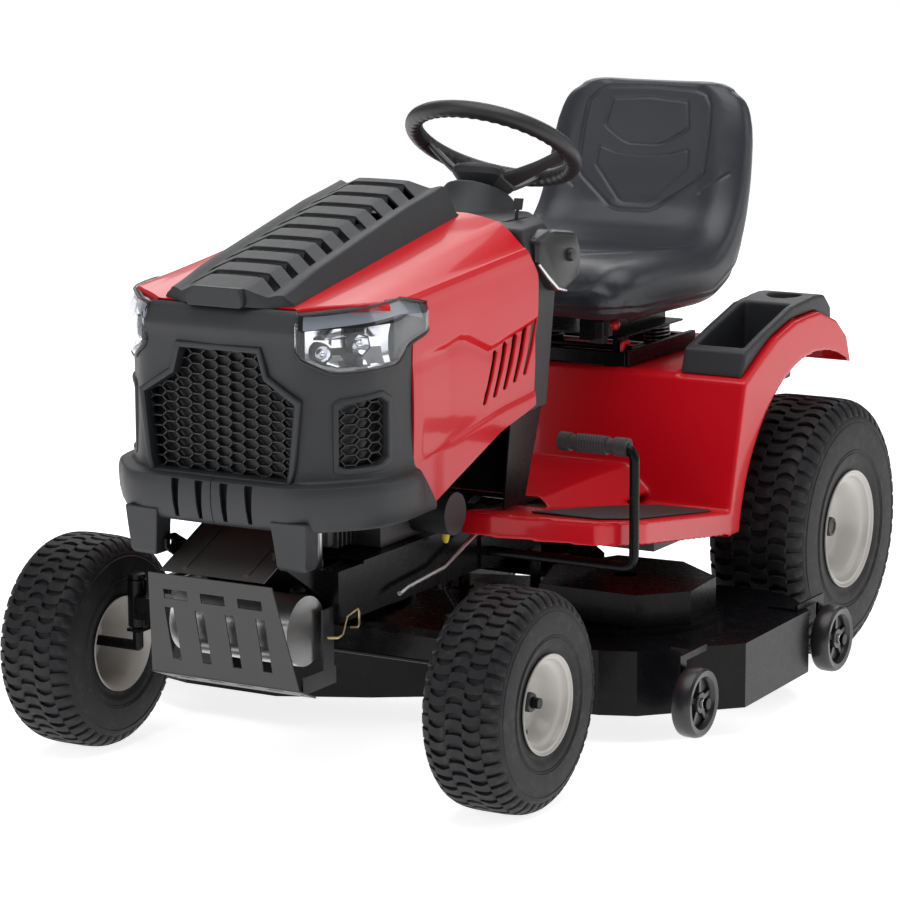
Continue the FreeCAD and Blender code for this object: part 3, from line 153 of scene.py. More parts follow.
VINYL = make_mat("vinyl", (0.021, 0.023, 0.030), 0.37, var=0.12, var_scale=7, rough_var=0.07, bump=0.32,
                 bump_scale=620, grain="cells", coat=0.12, coat_rough=0.3)
ALLOY = make_mat("cast_alloy", (0.36, 0.36, 0.37), 0.45, metal=0.9, var=0.15, var_scale=18, rough_var=0.14,
                 bump=0.4, bump_scale=420, dust=0.12)
BLACK_PLASTIC = make_mat("black_plastic", (0.020, 0.020, 0.022), 0.42, var=0.15, rough_var=0.08, bump=0.3,
                         bump_scale=1200)
STEEL = make_mat("steel", (0.55, 0.55, 0.56), 0.32, metal=1.0, var=0.10, var_scale=25, rough_var=0.12,
                 bump=0.15, bump_scale=500)
DARK_STEEL = make_mat("satin_dark_steel", (0.040, 0.038, 0.040), 0.40, metal=0.25, var=0.12, var_scale=12,
                      rough_var=0.10, bump=0.12, bump_scale=500)
SHIELD = make_mat("brushed_shield", (0.17, 0.165, 0.16), 0.38, metal=0.75, var=0.2, var_scale=6,
                  rough_var=0.10, bump=0.15, bump_scale=300)
DARK_CAST = make_mat("dark_cast_alloy", (0.10, 0.10, 0.10), 0.5, metal=0.7, var=0.3, var_scale=22,
                     rough_var=0.15, bump=0.4, bump_scale=420, dust=0.05)
CHROME = make_mat("chrome", (0.82, 0.83, 0.85), 0.10, metal=1.0, var=0.04, rough_var=0.05, bump=0.05,
                  bump_scale=200)
WHEEL_PLASTIC = make_mat("wheel_plastic", (0.014, 0.014, 0.016), 0.30, var=0.15, rough_var=0.08, bump=0.2,
                         bump_scale=900)
ZINC = make_mat("zinc", (0.62, 0.63, 0.62), 0.28, metal=1.0, var=0.12, var_scale=60, rough_var=0.12, bump=0.1,
                bump_scale=600)
GOLD = make_mat("yellow_zinc", (0.72, 0.55, 0.28), 0.30, metal=1.0, var=0.15, var_scale=60, rough_var=0.12)
YELLOW = make_mat("yellow_plastic", (0.75, 0.55, 0.03), 0.4, var=0.08, rough_var=0.06)
FROST = make_mat("frosted_plastic", (0.42, 0.45, 0.52), 0.30, coat=0.3, var=0.08, rough_var=0.06, bump=0.1,
                 bump_scale=800)
RED_KNOB = make_mat("red_plastic", (0.45, 0.01, 0.02), 0.35, var=0.08, rough_var=0.06)


def glass_mat():
    """Clear lens plastic."""
    mat, tree, shader = start_mat("clear_lens",
                                  {"Base Color": (0.96, 0.97, 0.99, 1), "Transmission Weight": 1.0,
                                   "IOR": 1.45})
    band = new_node(tree, "MapRange", {"To Min": 0.02, "To Max": 0.07, "Value": noise(tree, 40)})
    tree.links.new(band.outputs["Result"], shader.inputs["Roughness"])
    return mat


GLASS = glass_mat()
SLOT_MATS = {"red_paint": RED, "black_paint": BLACK, "charcoal_plastic": CHARCOAL, "tyre_rubber": TYRE,
             "rim_paint": RIM, "rubber": RUBBER, "vinyl": VINYL, "cast_alloy": ALLOY,
             "black_plastic": BLACK_PLASTIC, "steel": STEEL, "satin_dark_steel": DARK_STEEL,
             "clear_lens": GLASS, "chrome": CHROME, "wheel_plastic": WHEEL_PLASTIC}
# a material made here can have a number after its name, as the frame brings its own of that name
NODE_SLOT = {p["node"]: p["material_slot"] for p in frame["record"]["subparts"]}


# ------------------------------------------------------------------ mesh tools
class Build:
    """Collects vertices and faces, in metres in the tractor frame."""

    def __init__(self):
        self.v = []
        self.f = []

    def add(self, verts, faces):
        start = len(self.v)
        self.v.extend([tuple(p) for p in verts])
        self.f.extend([[i + start for i in face] for face in faces])
        return self

    def rings(self, rings, close_u=True, cap=True):
        """Skin a list of equal-length rings of points."""
        n = len(rings[0])
        verts = [p for ring in rings for p in ring]
        faces = []
        span = n if close_u else n - 1
        for i in range(len(rings) - 1):
            for j in range(span):
                a = i * n + j
                b = i * n + (j + 1) % n
                faces.append([a, b, b + n, a + n])
        if cap and close_u:
            faces.append(list(range(n))[::-1])
            faces.append([(len(rings) - 1) * n + j for j in range(n)])
        return self.add(verts, faces)

    def box(self, x, y, z):
        p = [(x[i], y[j], z[k]) for i in (0, 1) for j in (0, 1) for k in (0, 1)]
        return self.add(p, [[0, 1, 3, 2], [4, 6, 7, 5], [0, 4, 5, 1], [2, 3, 7, 6], [0, 2, 6, 4],
                            [1, 5, 7, 3]])

    def prism(self, points, axis, low, high):
        make = {"x": lambda p, t: (t, p[0], p[1]), "y": lambda p, t: (p[0], t, p[1]),
                "z": lambda p, t: (p[0], p[1], t)}[axis]
        return self.rings([[make(p, low) for p in points], [make(p, high) for p in points]])

    def tube(self, path, radius, sides=14):
        """Round bar along a path of points; radius may be a list."""
        pts = [Vector(p) for p in path]
        rad = radius if isinstance(radius, (list, tuple)) else [radius] * len(pts)
        rings = []
        up = None
        for i, p in enumerate(pts):
            way = (pts[min(i + 1, len(pts) - 1)] - pts[max(i - 1, 0)]).normalized()
            if up is None:
                up = way.orthogonal().normalized()
            up = (up - way * up.dot(way)).normalized()
            side = way.cross(up)
            rings.append([tuple(p + rad[i] * (math.cos(t) * up + math.sin(t) * side))
                          for t in [2 * math.pi * k / sides for k in range(sides)]])
        return self.rings(rings)

    def turn(self, profile, centre, axis="z", sides=48, closed=False):
        """Surface of revolution of (radius, along) points about an axis direction through centre."""
        named = {"x": (1, 0, 0), "y": (0, 1, 0), "z": (0, 0, 1)}
        way = Vector(named[axis] if isinstance(axis, str) else axis).normalized()
        up = way.orthogonal().normalized()
        side = way.cross(up)
        c = Vector(centre)
        prof = list(profile) + ([profile[0]] if closed else [])
        rings = []
        for r, a in ((max(float(r), 1e-6), float(a)) for r, a in prof):
            rings.append([tuple(c + way * a + r * (math.cos(t) * up + math.sin(t) * side))
                          for t in [2 * math.pi * k / sides for k in range(sides)]])
        return self.rings(rings, cap=False)

    def mirrored(self):
        other = Build()
        other.v = self.v + [(-p[0], p[1], p[2]) for p in self.v]
        n = len(self.v)
        other.f = self.f + [[i + n for i in reversed(face)] for face in self.f]
        return other


def raw_mesh(name, build):
    """Mesh of a Build, moved sideways to where the frame has the tractor."""
    me = bpy.data.meshes.new(name)
    v = np.array(build.v, float)
    v[:, 0] += DX
    me.from_pydata(v.tolist(), [], build.f)
    return me


def face_out(me, merge=0.0, centre=None):
    """Makes the faces' directions agree, away from a centre if one is given."""
    bm = bmesh.new()
    bm.from_mesh(me)
    if merge > 0:
        bmesh.ops.remove_doubles(bm, verts=bm.verts, dist=merge)
    bmesh.ops.recalc_face_normals(bm, faces=bm.faces)
    if centre:
        c = Vector((centre[0] + DX, centre[1], centre[2]))
        if sum(f.normal.dot(f.calc_center_median() - c) * f.calc_area() for f in bm.faces) < 0:
            bmesh.ops.reverse_faces(bm, faces=bm.faces)
    bm.to_mesh(me)
    bm.free()


def round_edges(ob, width, segments=2, angle=35.0, harden=True):
    mod = ob.modifiers.new("edge", "BEVEL")
    mod.width = width
    mod.segments = segments
    mod.limit_method = "ANGLE"
    mod.angle_limit = math.radians(angle)
    mod.harden_normals = harden


def sharp(ob, angle=30.0):
    """Smooth shading, with edges past an angle left sharp."""
    ob.data.shade_smooth()
    ob.data.set_sharp_from_angle(angle=math.radians(angle))


def put(name, build, body, mat, nodes=(), smooth=35.0, bevel=0.0, segments=2, merge=0.0, angle=28.0):
    """Build to object on a body, standing for CAD nodes."""
    me = raw_mesh(name, build)
    me.materials.append(mat)
    me.validate()
    face_out(me, merge)
    ob = bpy.data.objects.new(name, me)
    scene.collection.objects.link(ob)
    if bevel > 0:
        round_edges(ob, bevel, segments, angle)
    sharp(ob, smooth)
    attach(ob, body)
    if nodes:
        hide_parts(*nodes)
    return ob


def coords(me):
    p = np.empty(len(me.vertices) * 3, np.float32)
    me.vertices.foreach_get("co", p)
    return p.reshape(-1, 3).astype(float)


def store(me, p):
    me.vertices.foreach_set("co", np.ascontiguousarray(p, np.float32).reshape(-1))
    me.update()


def bake(ob):
    """Applies an object's modifiers to its mesh."""
    graph = bpy.context.evaluated_depsgraph_get()
    graph.update()
    fresh = bpy.data.meshes.new_from_object(ob.evaluated_get(graph))
    ob.modifiers.clear()
    old = ob.data
    ob.data = fresh
    bpy.data.meshes.remove(old)


def cut(ob, tool):
    """Takes the volume of a Build out of an object."""
    me = raw_mesh("cutter", tool)
    face_out(me)
    knife = bpy.data.objects.new("cutter", me)
    scene.collection.objects.link(knife)
    whole = ob.data.copy()
    for way in ("EXACT", "FAST"):
        mod = ob.modifiers.new("cut", "BOOLEAN")
        mod.operation = "DIFFERENCE"
        mod.solver = way
        mod.object = knife
        bake(ob)
        if len(ob.data.vertices) > 0.6 * len(whole.vertices):
            break
        ob.data = whole.copy()
    bpy.data.objects.remove(knife)


def sheet(name, build, body, mat, thick, centre, nodes=(), merge=0.0001):
    """Open skin turned into a sheet of a thickness."""
    ob = put(name, build, body, mat, nodes, merge=merge)
    face_out(ob.data, centre=centre)
    mod = ob.modifiers.new("sheet", "SOLIDIFY")
    mod.thickness = thick
    mod.offset = -1
    bake(ob)
    ob.data.shade_smooth()
    return ob


def edges(ob, width, segments=2, angle=35):
    sharp(ob, angle)
    round_edges(ob, width, segments, angle)


def spline(points, count):
    """Catmull-Rom through points of any dimension."""
    p = np.array(points, float)
    ends = np.vstack([p[:1], p, p[-1:]])
    out = []
    for p0, p1, p2, p3 in zip(ends, ends[1:], ends[2:], ends[3:]):
        for t in (k / count for k in range(count)):
            out.append(0.5 * ((2 * p1) + (-p0 + p2) * t + (2 * p0 - 5 * p1 + 4 * p2 - p3) * t * t
                              + (-p0 + 3 * p1 - 3 * p2 + p3) * t ** 3))
    return np.array(out + [p[-1]])


def step(x, a, b):
    """Smooth rise from 0 at a to 1 at b."""
    t = np.clip((x - a) / (b - a), 0, 1)
    return t * t * (3 - 2 * t)


OWN_MATS = {"muffler_heat_shield": SHIELD, "engine_block": DARK_CAST, "transaxle": DARK_CAST}
MOULDED = {"fender_body": (0.0032, 14), "fender_tray_left": (0.003, 8), "fender_tray_right": (0.003, 8),
           "dash_tower": (0.003, 12), "foot_mats": (0.002, 4)}
WIDE_EDGES = {"column_panel": 0.004, "deck_shell": 0.002, "deck_covers": 0.003, "chassis_frame": 0.002,
              "engine_shroud": 0.006, "transaxle": 0.005, "fuel_tank": 0.010, "muffler_heat_shield": 0.002}
# CAD nodes first: every one gets its finish and a small edge round
for name, ob in NODES.items():
    ob.data.materials.clear()
    ob.data.materials.append(OWN_MATS.get(name, SLOT_MATS[NODE_SLOT[name]]))
    sharp(ob)
    if name in MOULDED:
        size, rounds = MOULDED[name]
        skin_mod = ob.modifiers.new("moulded", "REMESH")
        skin_mod.mode = "VOXEL"
        skin_mod.voxel_size = size
        skin_mod.use_smooth_shade = True
        soft = ob.modifiers.new("soft", "SMOOTH")
        soft.factor = 0.6
        soft.iterations = rounds
        continue
    round_edges(ob, WIDE_EDGES.get(name, 0.0012), 3 if name in WIDE_EDGES else 2, harden=False)


# ------------------------------------------------------------------ tyres
def wheel_box(node):
    """Centre, half width and radius of a wheel's part, from its CAD box."""
    low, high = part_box(node)
    centre = ((low.x + high.x) / 2 - DX, (low.y + high.y) / 2, (low.z + high.z) / 2)
    return centre, (high.x - low.x) / 2, (high.z - low.z) / 2


def tyre(node, body, lug_rows, columns, bead):
    """Carcass with rings on its sidewalls and rows of bowed lugs round the tread, offset column by column."""
    (cx, cy, cz), w, radius = wheel_box(node)
    deep = radius - bead
    k = deep / 0.1115
    outer = [(bead, w - 0.007), (bead + 0.12 * deep, w - 0.006), (bead + 0.25 * deep, w - 0.0015),
             (bead + 0.5 * deep, w), (bead + 0.76 * deep, w - 0.003), (bead + 0.9 * deep, w - 0.012),
             (bead + 0.975 * deep, w - 0.026), (radius, w - 0.048), (radius + 0.0003, 0.0)]
    curve = spline(outer, 8)
    drop = 0.0062 * k
    # carcass sits one lug height below the tread surface
    side_r = bead + 0.72 * deep
    carcass = []
    for r, a in curve:
        f = step(r, side_r, bead + 0.9 * deep)
        carcass.append((r - drop * f, a))
    b = Build()
    prof = carcass + [(r, -a) for r, a in carcass[::-1][1:]]
    b.turn(prof, (cx, cy, cz), "x", 120)
    # bead wall inside
    b.turn([(bead + 0.002, w - 0.020), (bead, w - 0.007)], (cx, cy, cz), "x", 120)
    b.turn([(bead, -w + 0.007), (bead + 0.002, -w + 0.020)], (cx, cy, cz), "x", 120)
    # sidewall rings
    for rr in (0.30, 0.34, 0.70):
        r0 = bead + rr * deep
        a0 = np.interp(r0, curve[:, 0], curve[:, 1])
        for s in (1, -1):
            bead_ring = [(r0 - 0.0016, s * (a0 - 0.0005)), (r0, s * (a0 + 0.0012)),
                         (r0 + 0.0016, s * (a0 - 0.0005))]
            b.turn(bead_ring, (cx, cy, cz), "x", 120)
    # tread surface by arc length from the middle of the crown
    tread = curve[::-1]
    seg = np.hypot(np.diff(tread[:, 0]), np.diff(tread[:, 1]))
    arc = np.concatenate([[0], np.cumsum(seg)])
    base = np.array(carcass[::-1])

    def surface(s, height):
        sign = 1 if s >= 0 else -1
        r = np.interp(abs(s), arc, tread[:, 0])
        a = np.interp(abs(s), arc, tread[:, 1])
        rb = np.interp(abs(s), arc, base[:, 0]) - 0.001
        ab = np.interp(abs(s), arc, base[:, 1]) - 0.001
        return rb + (r - rb) * height, sign * (ab + (a - ab) * height)

    pitch = 2 * math.pi / lug_rows
    cell = pitch * radius
    edge_s = np.interp(bead + 0.80 * deep, curve[:, 0], arc[::-1])
    span = 2 * edge_s
    col_w = span / columns
    for row in range(lug_rows):
        for col in range(columns):
            s0 = -edge_s + col_w * (col + 0.5)
            shift = 0.5 * pitch if col % 2 else 0.0
            theta0 = row * pitch + shift
            shoulder = col in (0, columns - 1)
            flip = 1 if col % 2 else -1
            hw = col_w * (0.50 if shoulder else 0.53)
            hv = cell * 0.36
            if shoulder:
                out_side = -1 if col == 0 else 1
                shape = [(-hw, -hv * 0.95), (-hw * 0.3, -hv * 1.05), (hw * 0.4, -hv), (hw, -hv * 0.8),
                         (hw, hv * 0.8), (hw * 0.4, hv), (-hw * 0.3, hv * 0.92), (-hw, hv)]
                shape = [(out_side * p, q) for p, q in shape]
            else:
                bow = cell * 0.20 * flip
                shape = []
                for t in np.linspace(-1, 1, 7):
                    shape.append((hw * t, -hv * (0.78 + 0.22 * abs(t)) + bow * (1 - t * t) - bow * 0.4))
                for t in np.linspace(1, -1, 7):
                    shape.append((hw * t, hv * (0.78 + 0.22 * abs(t)) + bow * (1 - t * t) - bow * 0.4))
            rings = []
            for height, grow in ((0.0, 1.06), (0.86, 1.0), (1.0, 0.93)):
                ring = []
                for p, q in shape:
                    s = max(-arc[-1], min(arc[-1], s0 + p * grow))
                    r, a = surface(s, height)
                    th = theta0 + q * grow / radius
                    ring.append((cx + a, cy + r * math.cos(th), cz + r * math.sin(th)))
                rings.append(ring)
            n = len(shape)
            verts = [p for ring in rings for p in ring]
            faces = [[i * n + j, i * n + (j + 1) % n, (i + 1) * n + (j + 1) % n, (i + 1) * n + j]
                     for i in range(2) for j in range(n)]
            half = n // 2
            top = 2 * n
            for j in range(half - 1):
                faces.append([top + j, top + j + 1, top + n - 2 - j, top + n - 1 - j])
            b.add(verts, faces)
    return put(node.replace("_tyre", "_tread_tyre"), b, body, TYRE, [node], smooth=40)


tyre("front_tyre_left", "wheel_fl", 46, 5, 0.079)
tyre("front_tyre_right", "wheel_fr", 46, 5, 0.079)
tyre("rear_tyre_left", "wheel_rl", 50, 6, 0.105)
tyre("rear_tyre_right", "wheel_rr", 50, 6, 0.105)


# ------------------------------------------------------------------ seat
def near(points, line):
    """Distance from 2-D points to a polyline."""
    line = np.array(line, float)
    best = np.full(len(points), 1e9)
    for a, c in zip(line, line[1:]):
        ac = c - a
        t = np.clip(((points - a) @ ac) / (ac @ ac), 0, 1)
        best = np.minimum(best, np.hypot(*(points - a - t[:, None] * ac).T))
    return best


def seat_form(slim):
    """Closed pillow along an L-shaped spine: front lip, pan, corner, back, top."""
    spine = spline([(246, 730), (284, 744), (380, 751), (480, 748), (566, 749), (640, 776), (692, 832),
                    (724, 902), (742, 962), (757, 1022), (768, 1070), (774, 1096)], 6)
    half = spline([[v] for v in (38, 56, 57, 55, 55, 57, 50, 44, 41, 38, 33, 27)], 6)[:, 0]
    wide = spline([[v] for v in (190, 217, 229, 235, 237, 237, 233, 229, 225, 217, 197, 152)], 6)[:, 0]
    b = Build()
    rings = []
    n = 72
    total = len(spine)
    for i in range(total):
        way = spine[min(i + 1, total - 1)] - spine[max(i - 1, 0)]
        way = way / np.linalg.norm(way)
        normal = np.array([-way[1], way[0]])
        h, w = half[i] - slim, wide[i] - slim
        ring = []
        for k in range(n):
            t = 2 * math.pi * k / n
            c, s = math.cos(t), math.sin(t)
            x = w * math.copysign(abs(c) ** 0.42, c)
            d = h * math.copysign(abs(s) ** 0.62, s)
            if s > 0:
                f = abs(x) / w
                d += 7.0 * math.exp(-((f - 0.80) / 0.13) ** 2) - 5.0 * (1 - f * f)
            elif i < 32:
                d -= 15.0 * step(abs(x) / w, 0.55, 0.80) * min(1.0, (32 - i) / 8)
            p = spine[i] + normal * d
            ring.append(mm(x, p[0], p[1]))
        rings.append(ring)
    # rounded ends
    for index, sign in ((0, -1), (total - 1, 1)):
        way = spine[1] - spine[0] if index == 0 else spine[-1] - spine[-2]
        way = way / np.linalg.norm(way) * sign
        ends = []
        base = np.array(rings[index])
        centre = base.mean(axis=0)
        for push, size_x, size_t in ((0.45, 0.94, 0.90), (0.80, 0.83, 0.66), (0.97, 0.68, 0.34),
                                     (1.0, 0.52, 0.05)):
            reach = half[index] * 0.9 * push * MM
            q = base.copy()
            q[:, 0] = centre[0] + (base[:, 0] - centre[0]) * size_x
            q[:, 1] = centre[1] + (base[:, 1] - centre[1]) * size_t + way[0] * reach
            q[:, 2] = centre[2] + (base[:, 2] - centre[2]) * size_t + way[1] * reach
            ends.append([tuple(p) for p in q])
        rings = ends[::-1] + rings if index == 0 else rings + ends
    b.rings(rings)
    return b


# sewn lines as (depth, width, points) in mm; the back's points are (x, z), the pan's (x, y), its last a ridge
BACK_SEAMS = [
    (2.6, 2.6, [(-118, 1080), (-100, 1090), (0, 1094), (100, 1090), (124, 1082), (138, 1060), (141, 1000),
                (141, 930), (128, 912), (52, 858), (30, 853), (-30, 853), (-52, 858), (-128, 912),
                (-141, 930), (-141, 1000), (-136, 1060), (-118, 1080)]),
    (2.2, 2.2, [(-84, 1066), (0, 1072), (84, 1066), (94, 1016), (84, 1006), (46, 984), (30, 980), (-30, 980),
                (-46, 984), (-84, 1006), (-94, 1016), (-84, 1066)]),
    (1.8, 2.4, [(-98, 972), (-60, 961), (0, 957), (60, 961), (98, 972)]),
    (1.7, 2.4, [(-100, 972), (-102, 936), (-92, 926), (-34, 870), (-22, 866), (22, 866), (34, 870), (92, 926),
                (102, 936), (100, 972)]),
    (1.8, 2.4, [(142, 892), (196, 930)]),
    (1.8, 2.4, [(-142, 892), (-196, 930)])]
PAN_SEAMS = [
    (1.9, 2.6, [(-168, 560), (-120, 548), (0, 540), (120, 548), (168, 560)]),
    (2.2, 3.2, [(-176, 470), (-140, 452), (-60, 402), (0, 396), (60, 402), (140, 452), (176, 470)]),
    (-2.0, 7.0, [(-180, 440), (-130, 400), (-50, 340), (0, 334), (50, 340), (130, 400), (180, 440)])]
SIDE_SEAM = [(150, 716), (300, 716), (560, 714), (664, 752), (736, 820), (778, 930), (804, 1040), (812, 1130)]
CLOTH_REACH = 0.002  # the vinyl moves no further than this when its cloth step fills it
SEAT_UNDERSIDE = 0.6948  # flat where the seat rests on its pan


def seat():
    """Vinyl seat: its form, smoothed and slightly filled by a cloth step, then its seams pressed in."""
    ob = bpy.data.objects.new("seat_vinyl", raw_mesh("seat_raw", seat_form(3.0)))
    scene.collection.objects.link(ob)
    remesh = ob.modifiers.new("voxels", "REMESH")
    remesh.mode = "VOXEL"
    remesh.voxel_size = 0.0058
    bake(ob)
    before = coords(ob.data)
    cloth = ob.modifiers.new("soft", "CLOTH")
    cloth.settings.quality = 4
    cloth.settings.mass = 0.4
    cloth.settings.tension_stiffness = 60
    cloth.settings.compression_stiffness = 60
    cloth.settings.bending_stiffness = 6.0
    cloth.settings.use_pressure = True
    cloth.settings.uniform_pressure_force = 1.2
    cloth.settings.effector_weights.gravity = 0
    cloth.collision_settings.use_collision = False
    for shot in range(1, 13):
        scene.frame_set(shot)
    bake(ob)
    scene.frame_set(1)
    move = coords(ob.data) - before
    size = np.linalg.norm(move, axis=1)
    scale = np.minimum(1.0, CLOTH_REACH / np.maximum(size, 1e-9))
    store(ob.data, before + move * scale[:, None])
    sub = ob.modifiers.new("fine", "SUBSURF")
    sub.levels = sub.render_levels = 1
    bake(ob)
    me = ob.data
    p = coords(me)
    normal = np.empty(len(p) * 3, np.float32)
    me.vertices.foreach_get("normal", normal)
    normal = normal.reshape(-1, 3).astype(float)
    x = (p[:, 0] - DX) * 1000
    y = p[:, 1] * 1000
    z = p[:, 2] * 1000
    push = np.zeros(len(p))
    facing = step(-normal[:, 1], 0.15, 0.45) * step(z, 835, 850)
    xz = np.stack([x, z], 1)
    for depth, width, line in BACK_SEAMS:
        push -= depth * facing * np.exp(-(near(xz, line) / width) ** 2)
    up = step(normal[:, 2], 0.35, 0.6) * step(-z, -850, -838)
    xy = np.stack([x, y], 1)
    for depth, width, line in PAN_SEAMS:
        push -= depth * up * np.exp(-(near(xy, line) / width) ** 2)
    # low seam all round the pan and up behind the bolster, with a raised welt beside it
    yz = np.stack([y, z], 1)
    gap = near(yz, SIDE_SEAM)
    under = step(-z, -1120, -1108) * (1 - step(-normal[:, 1], 0.2, 0.5) * step(z, 760, 800))
    push -= 2.0 * under * np.exp(-(gap / 2.6) ** 2)
    push += 1.4 * under * np.exp(-((gap - 7) / 3.0) ** 2)
    p = p + normal * push[:, None] * MM
    flat = (np.abs(x) < 182) & (y < 690) & (z < 720)
    p[flat, 2] = np.maximum(p[flat, 2], SEAT_UNDERSIDE)
    store(me, p)
    me.materials.clear()
    me.materials.append(VINYL)
    me.shade_smooth()
    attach(ob, "seat")
    return ob


seat()
seat_low = Build()
seat_low.box((-0.150, 0.150), (0.26, 0.60), (0.700, 0.716))
for sx in (-0.100, 0.100):
    seat_low.box((sx - 0.014, sx + 0.014), (0.240, 0.500), (0.6926, 0.700))
put("seat_pan", seat_low, "seat", BLACK, ["seat_cushion"], bevel=0.003)


base = Build()
for s in (1, -1):
    base.box((s * 0.166 - 0.006, s * 0.166 + 0.006), (0.312, 0.604), (0.5955, 0.6275))
    base.box((s * 0.118 - 0.004, s * 0.118 + 0.004), (0.330, 0.590), (0.5955, 0.6150))
base.box((-0.166, 0.166), (0.308, 0.322), (0.5955, 0.6230))
base.box((-0.166, 0.166), (0.594, 0.606), (0.5955, 0.6200))
put("seat_deck_frame", base, "chassis", BLACK, bevel=0.002)
COIL_R = 0.024
TURNS = 5
TURN_STEPS = 24
coil = Build()
for s in (1, -1):
    path = []
    for k in range(TURNS * TURN_STEPS + 1):
        t = 2 * math.pi * k / TURN_STEPS
        rise = 0.038 * k / (TURNS * TURN_STEPS)
        path.append((s * 0.118 + COIL_R * math.cos(t), 0.540 + COIL_R * math.sin(t), 0.602 + rise))
    coil.tube(path, 0.0028, 8)
put("seat_coils", coil, "seat_base", STEEL, smooth=60)
switch = Build()
switch.box((0.100, 0.130), (0.286, 0.306), (0.640, 0.684))
switch.box((0.128, 0.142), (0.288, 0.304), (0.655, 0.690))
put("seat_latch", switch, "seat_base", BLACK_PLASTIC, bevel=0.0015)
profile = [(0.0, 0.0), (0.008, 0.001), (0.0105, 0.006), (0.0105, 0.012), (0.007, 0.017), (0.0, 0.018)]
red_knob = Build().turn(profile, (0.141, 0.296, 0.678), "x", 24)
put("seat_latch_knob", red_knob, "seat_base", RED_KNOB, smooth=50)


# ------------------------------------------------------------------ hood
NOSE, REAR = -842.0, -237.0


def hood_line(y):
    """Heights across the top: middle, shoulder and edge."""
    r = (y - NOSE) / (REAR - NOSE)
    return 850 + 100 * r, 849 + 88 * r, 846 + 49 * r


def top_section(y):
    """Half of the hood's top across, as (x, z): flat beside the scoop, then falling to the side's edge."""
    crown, shoulder, edge = hood_line(y)
    pts = [(88, crown + 0.3), (112, crown), (128, crown - 0.2)]
    for t in np.linspace(0.12, 1, 7):
        pts.append((128 + (196 - 128) * t, crown + (shoulder - crown) * t + 1.2 * math.sin(math.pi * t)))
    for t in np.linspace(0.15, 1, 6):
        pts.append((196 + (243 - 196) * t, shoulder + (edge - shoulder) * t + 3.0 * math.sin(math.pi * t)))
    return pts


def ridge_z(y):
    """Height of the ridge pressed along the side."""
    return np.interp(y, [-700, -630, -516, -465, -440, -360, -330, -237],
                     [752, 760, 765, 774, 770, 739, 742, 768])


def low_z(y):
    """Height of the side's lower edge, with its step behind the fascia."""
    return np.interp(y, [-700, -630, -572, -571.9, -177], [574, 574, 490, 490, 629])


def hood_mesh():
    """Outer skin as a grid: stations along the length, one row per height on the section."""
    rows = []
    for y in sorted({*np.linspace(-630, REAR, 90), -516.0, -465.0, -360.0, -240.0}):
        edge = hood_line(y)[2]
        low = max(low_z(y), 490)
        rz = ridge_z(y)
        crease = 588 + (y + 515) * 0.155
        inset = np.interp(y, [-640, -600, -500, -300, -237], [0.0, 1.0, 7.0, 9.0, 8.0])
        pts = top_section(y) + [(246.5, edge - 2), (249.0, edge - 6), (250.0, edge - 14)]
        side = np.concatenate([np.linspace(edge - 24, rz + 9, 8),
                               [rz + 5, rz + 2, rz, rz - 3, rz - 7, rz - 12, rz - 18]])
        for z in side:
            drop = step(rz - z, -1.0, 13.0) * inset
            bow = 1.2 * math.sin(math.pi * (z - rz) / max(edge - rz, 1)) if z > rz else 0.0
            pts.append((250 - drop + bow - 1.2, z))
        lower = np.linspace(rz - 28, max(crease + 4, low + 2), 14)
        for z in lower:
            belly = 2.5 * math.sin(math.pi * (rz - z) / max(rz - crease, 1))
            pts.append((248.8 - inset + belly, z))
        for dz, dx in ((2, 0.4), (0, 1.8), (-4, 3.6), (-9, 4.2)):
            z = max(crease + dz, low + 1)
            pts.append((248.8 - inset + min(dx, inset * 0.6), z))
        for z in np.linspace(max(crease - 14, low + 0.8), low, 6):
            pts.append((248.8 - inset + min(4.2, inset * 0.6), z))
        rows.append([mm(x, y + 44 * (step(y, -330, -237) * step(-z, -905, -835)), z) for x, z in pts])
    return rows


def nose_top():
    """Strip of the hood's top ahead of the side panels, over the lamps."""
    rows = []
    for y in np.linspace(-814, -630, 26):
        limit = np.interp(y, [-814, -752, -690, -640], [134, 220, 246, 250])
        xs, zs = zip(*top_section(y))
        pts = [(min(x, limit), np.interp(min(x, limit), xs, zs)) for x in xs]
        last = pts[-1]
        for dx, dz in ((3.5, -2), (6, -6), (7, -14)):
            pts.append((last[0] + dx, last[1] + dz))
        rows.append([mm(x, y, z) for x, z in pts])
    return rows


hood_half = Build().rings(hood_mesh(), close_u=False).rings(nose_top(), close_u=False)
hood = sheet("hood_skin", hood_half.mirrored(), "hood", RED, 0.0032, (0, -0.5, 0.70), ["hood_shell"],
             merge=0.00008)
# each vent slot's front foot and how much taller it is than the first
VENTS = [(-381 + 36 * index, 634 + 8 * index, 2 * index) for index in range(5)]
vents = Build()
for y0, z0, more in VENTS:
    shape = [(y0, z0 + 4), (y0 + 4, z0), (y0 + 11, z0 + 2), (y0 + 50, z0 + 84 + more),
             (y0 + 51, z0 + 90 + more), (y0 + 46, z0 + 93 + more), (y0 + 40, z0 + 90 + more)]
    for s in (1, -1):
        vents.prism([mm(y, z) for y, z in shape], "x", s * 0.215, s * 0.262)
LAMP_SIDE = [(-700, 758), (-672, 766), (-658, 777), (-646, 782), (-602, 791), (-583, 798), (-583, 846),
             (-650, 861), (-700, 861)]
for s in (1, -1):
    vents.prism([mm(y, z) for y, z in LAMP_SIDE], "x", s * 0.222, s * 0.262)
cut(hood, vents)
sharp(hood, 26)
round_edges(hood, 0.0012, 2, 50, harden=False)
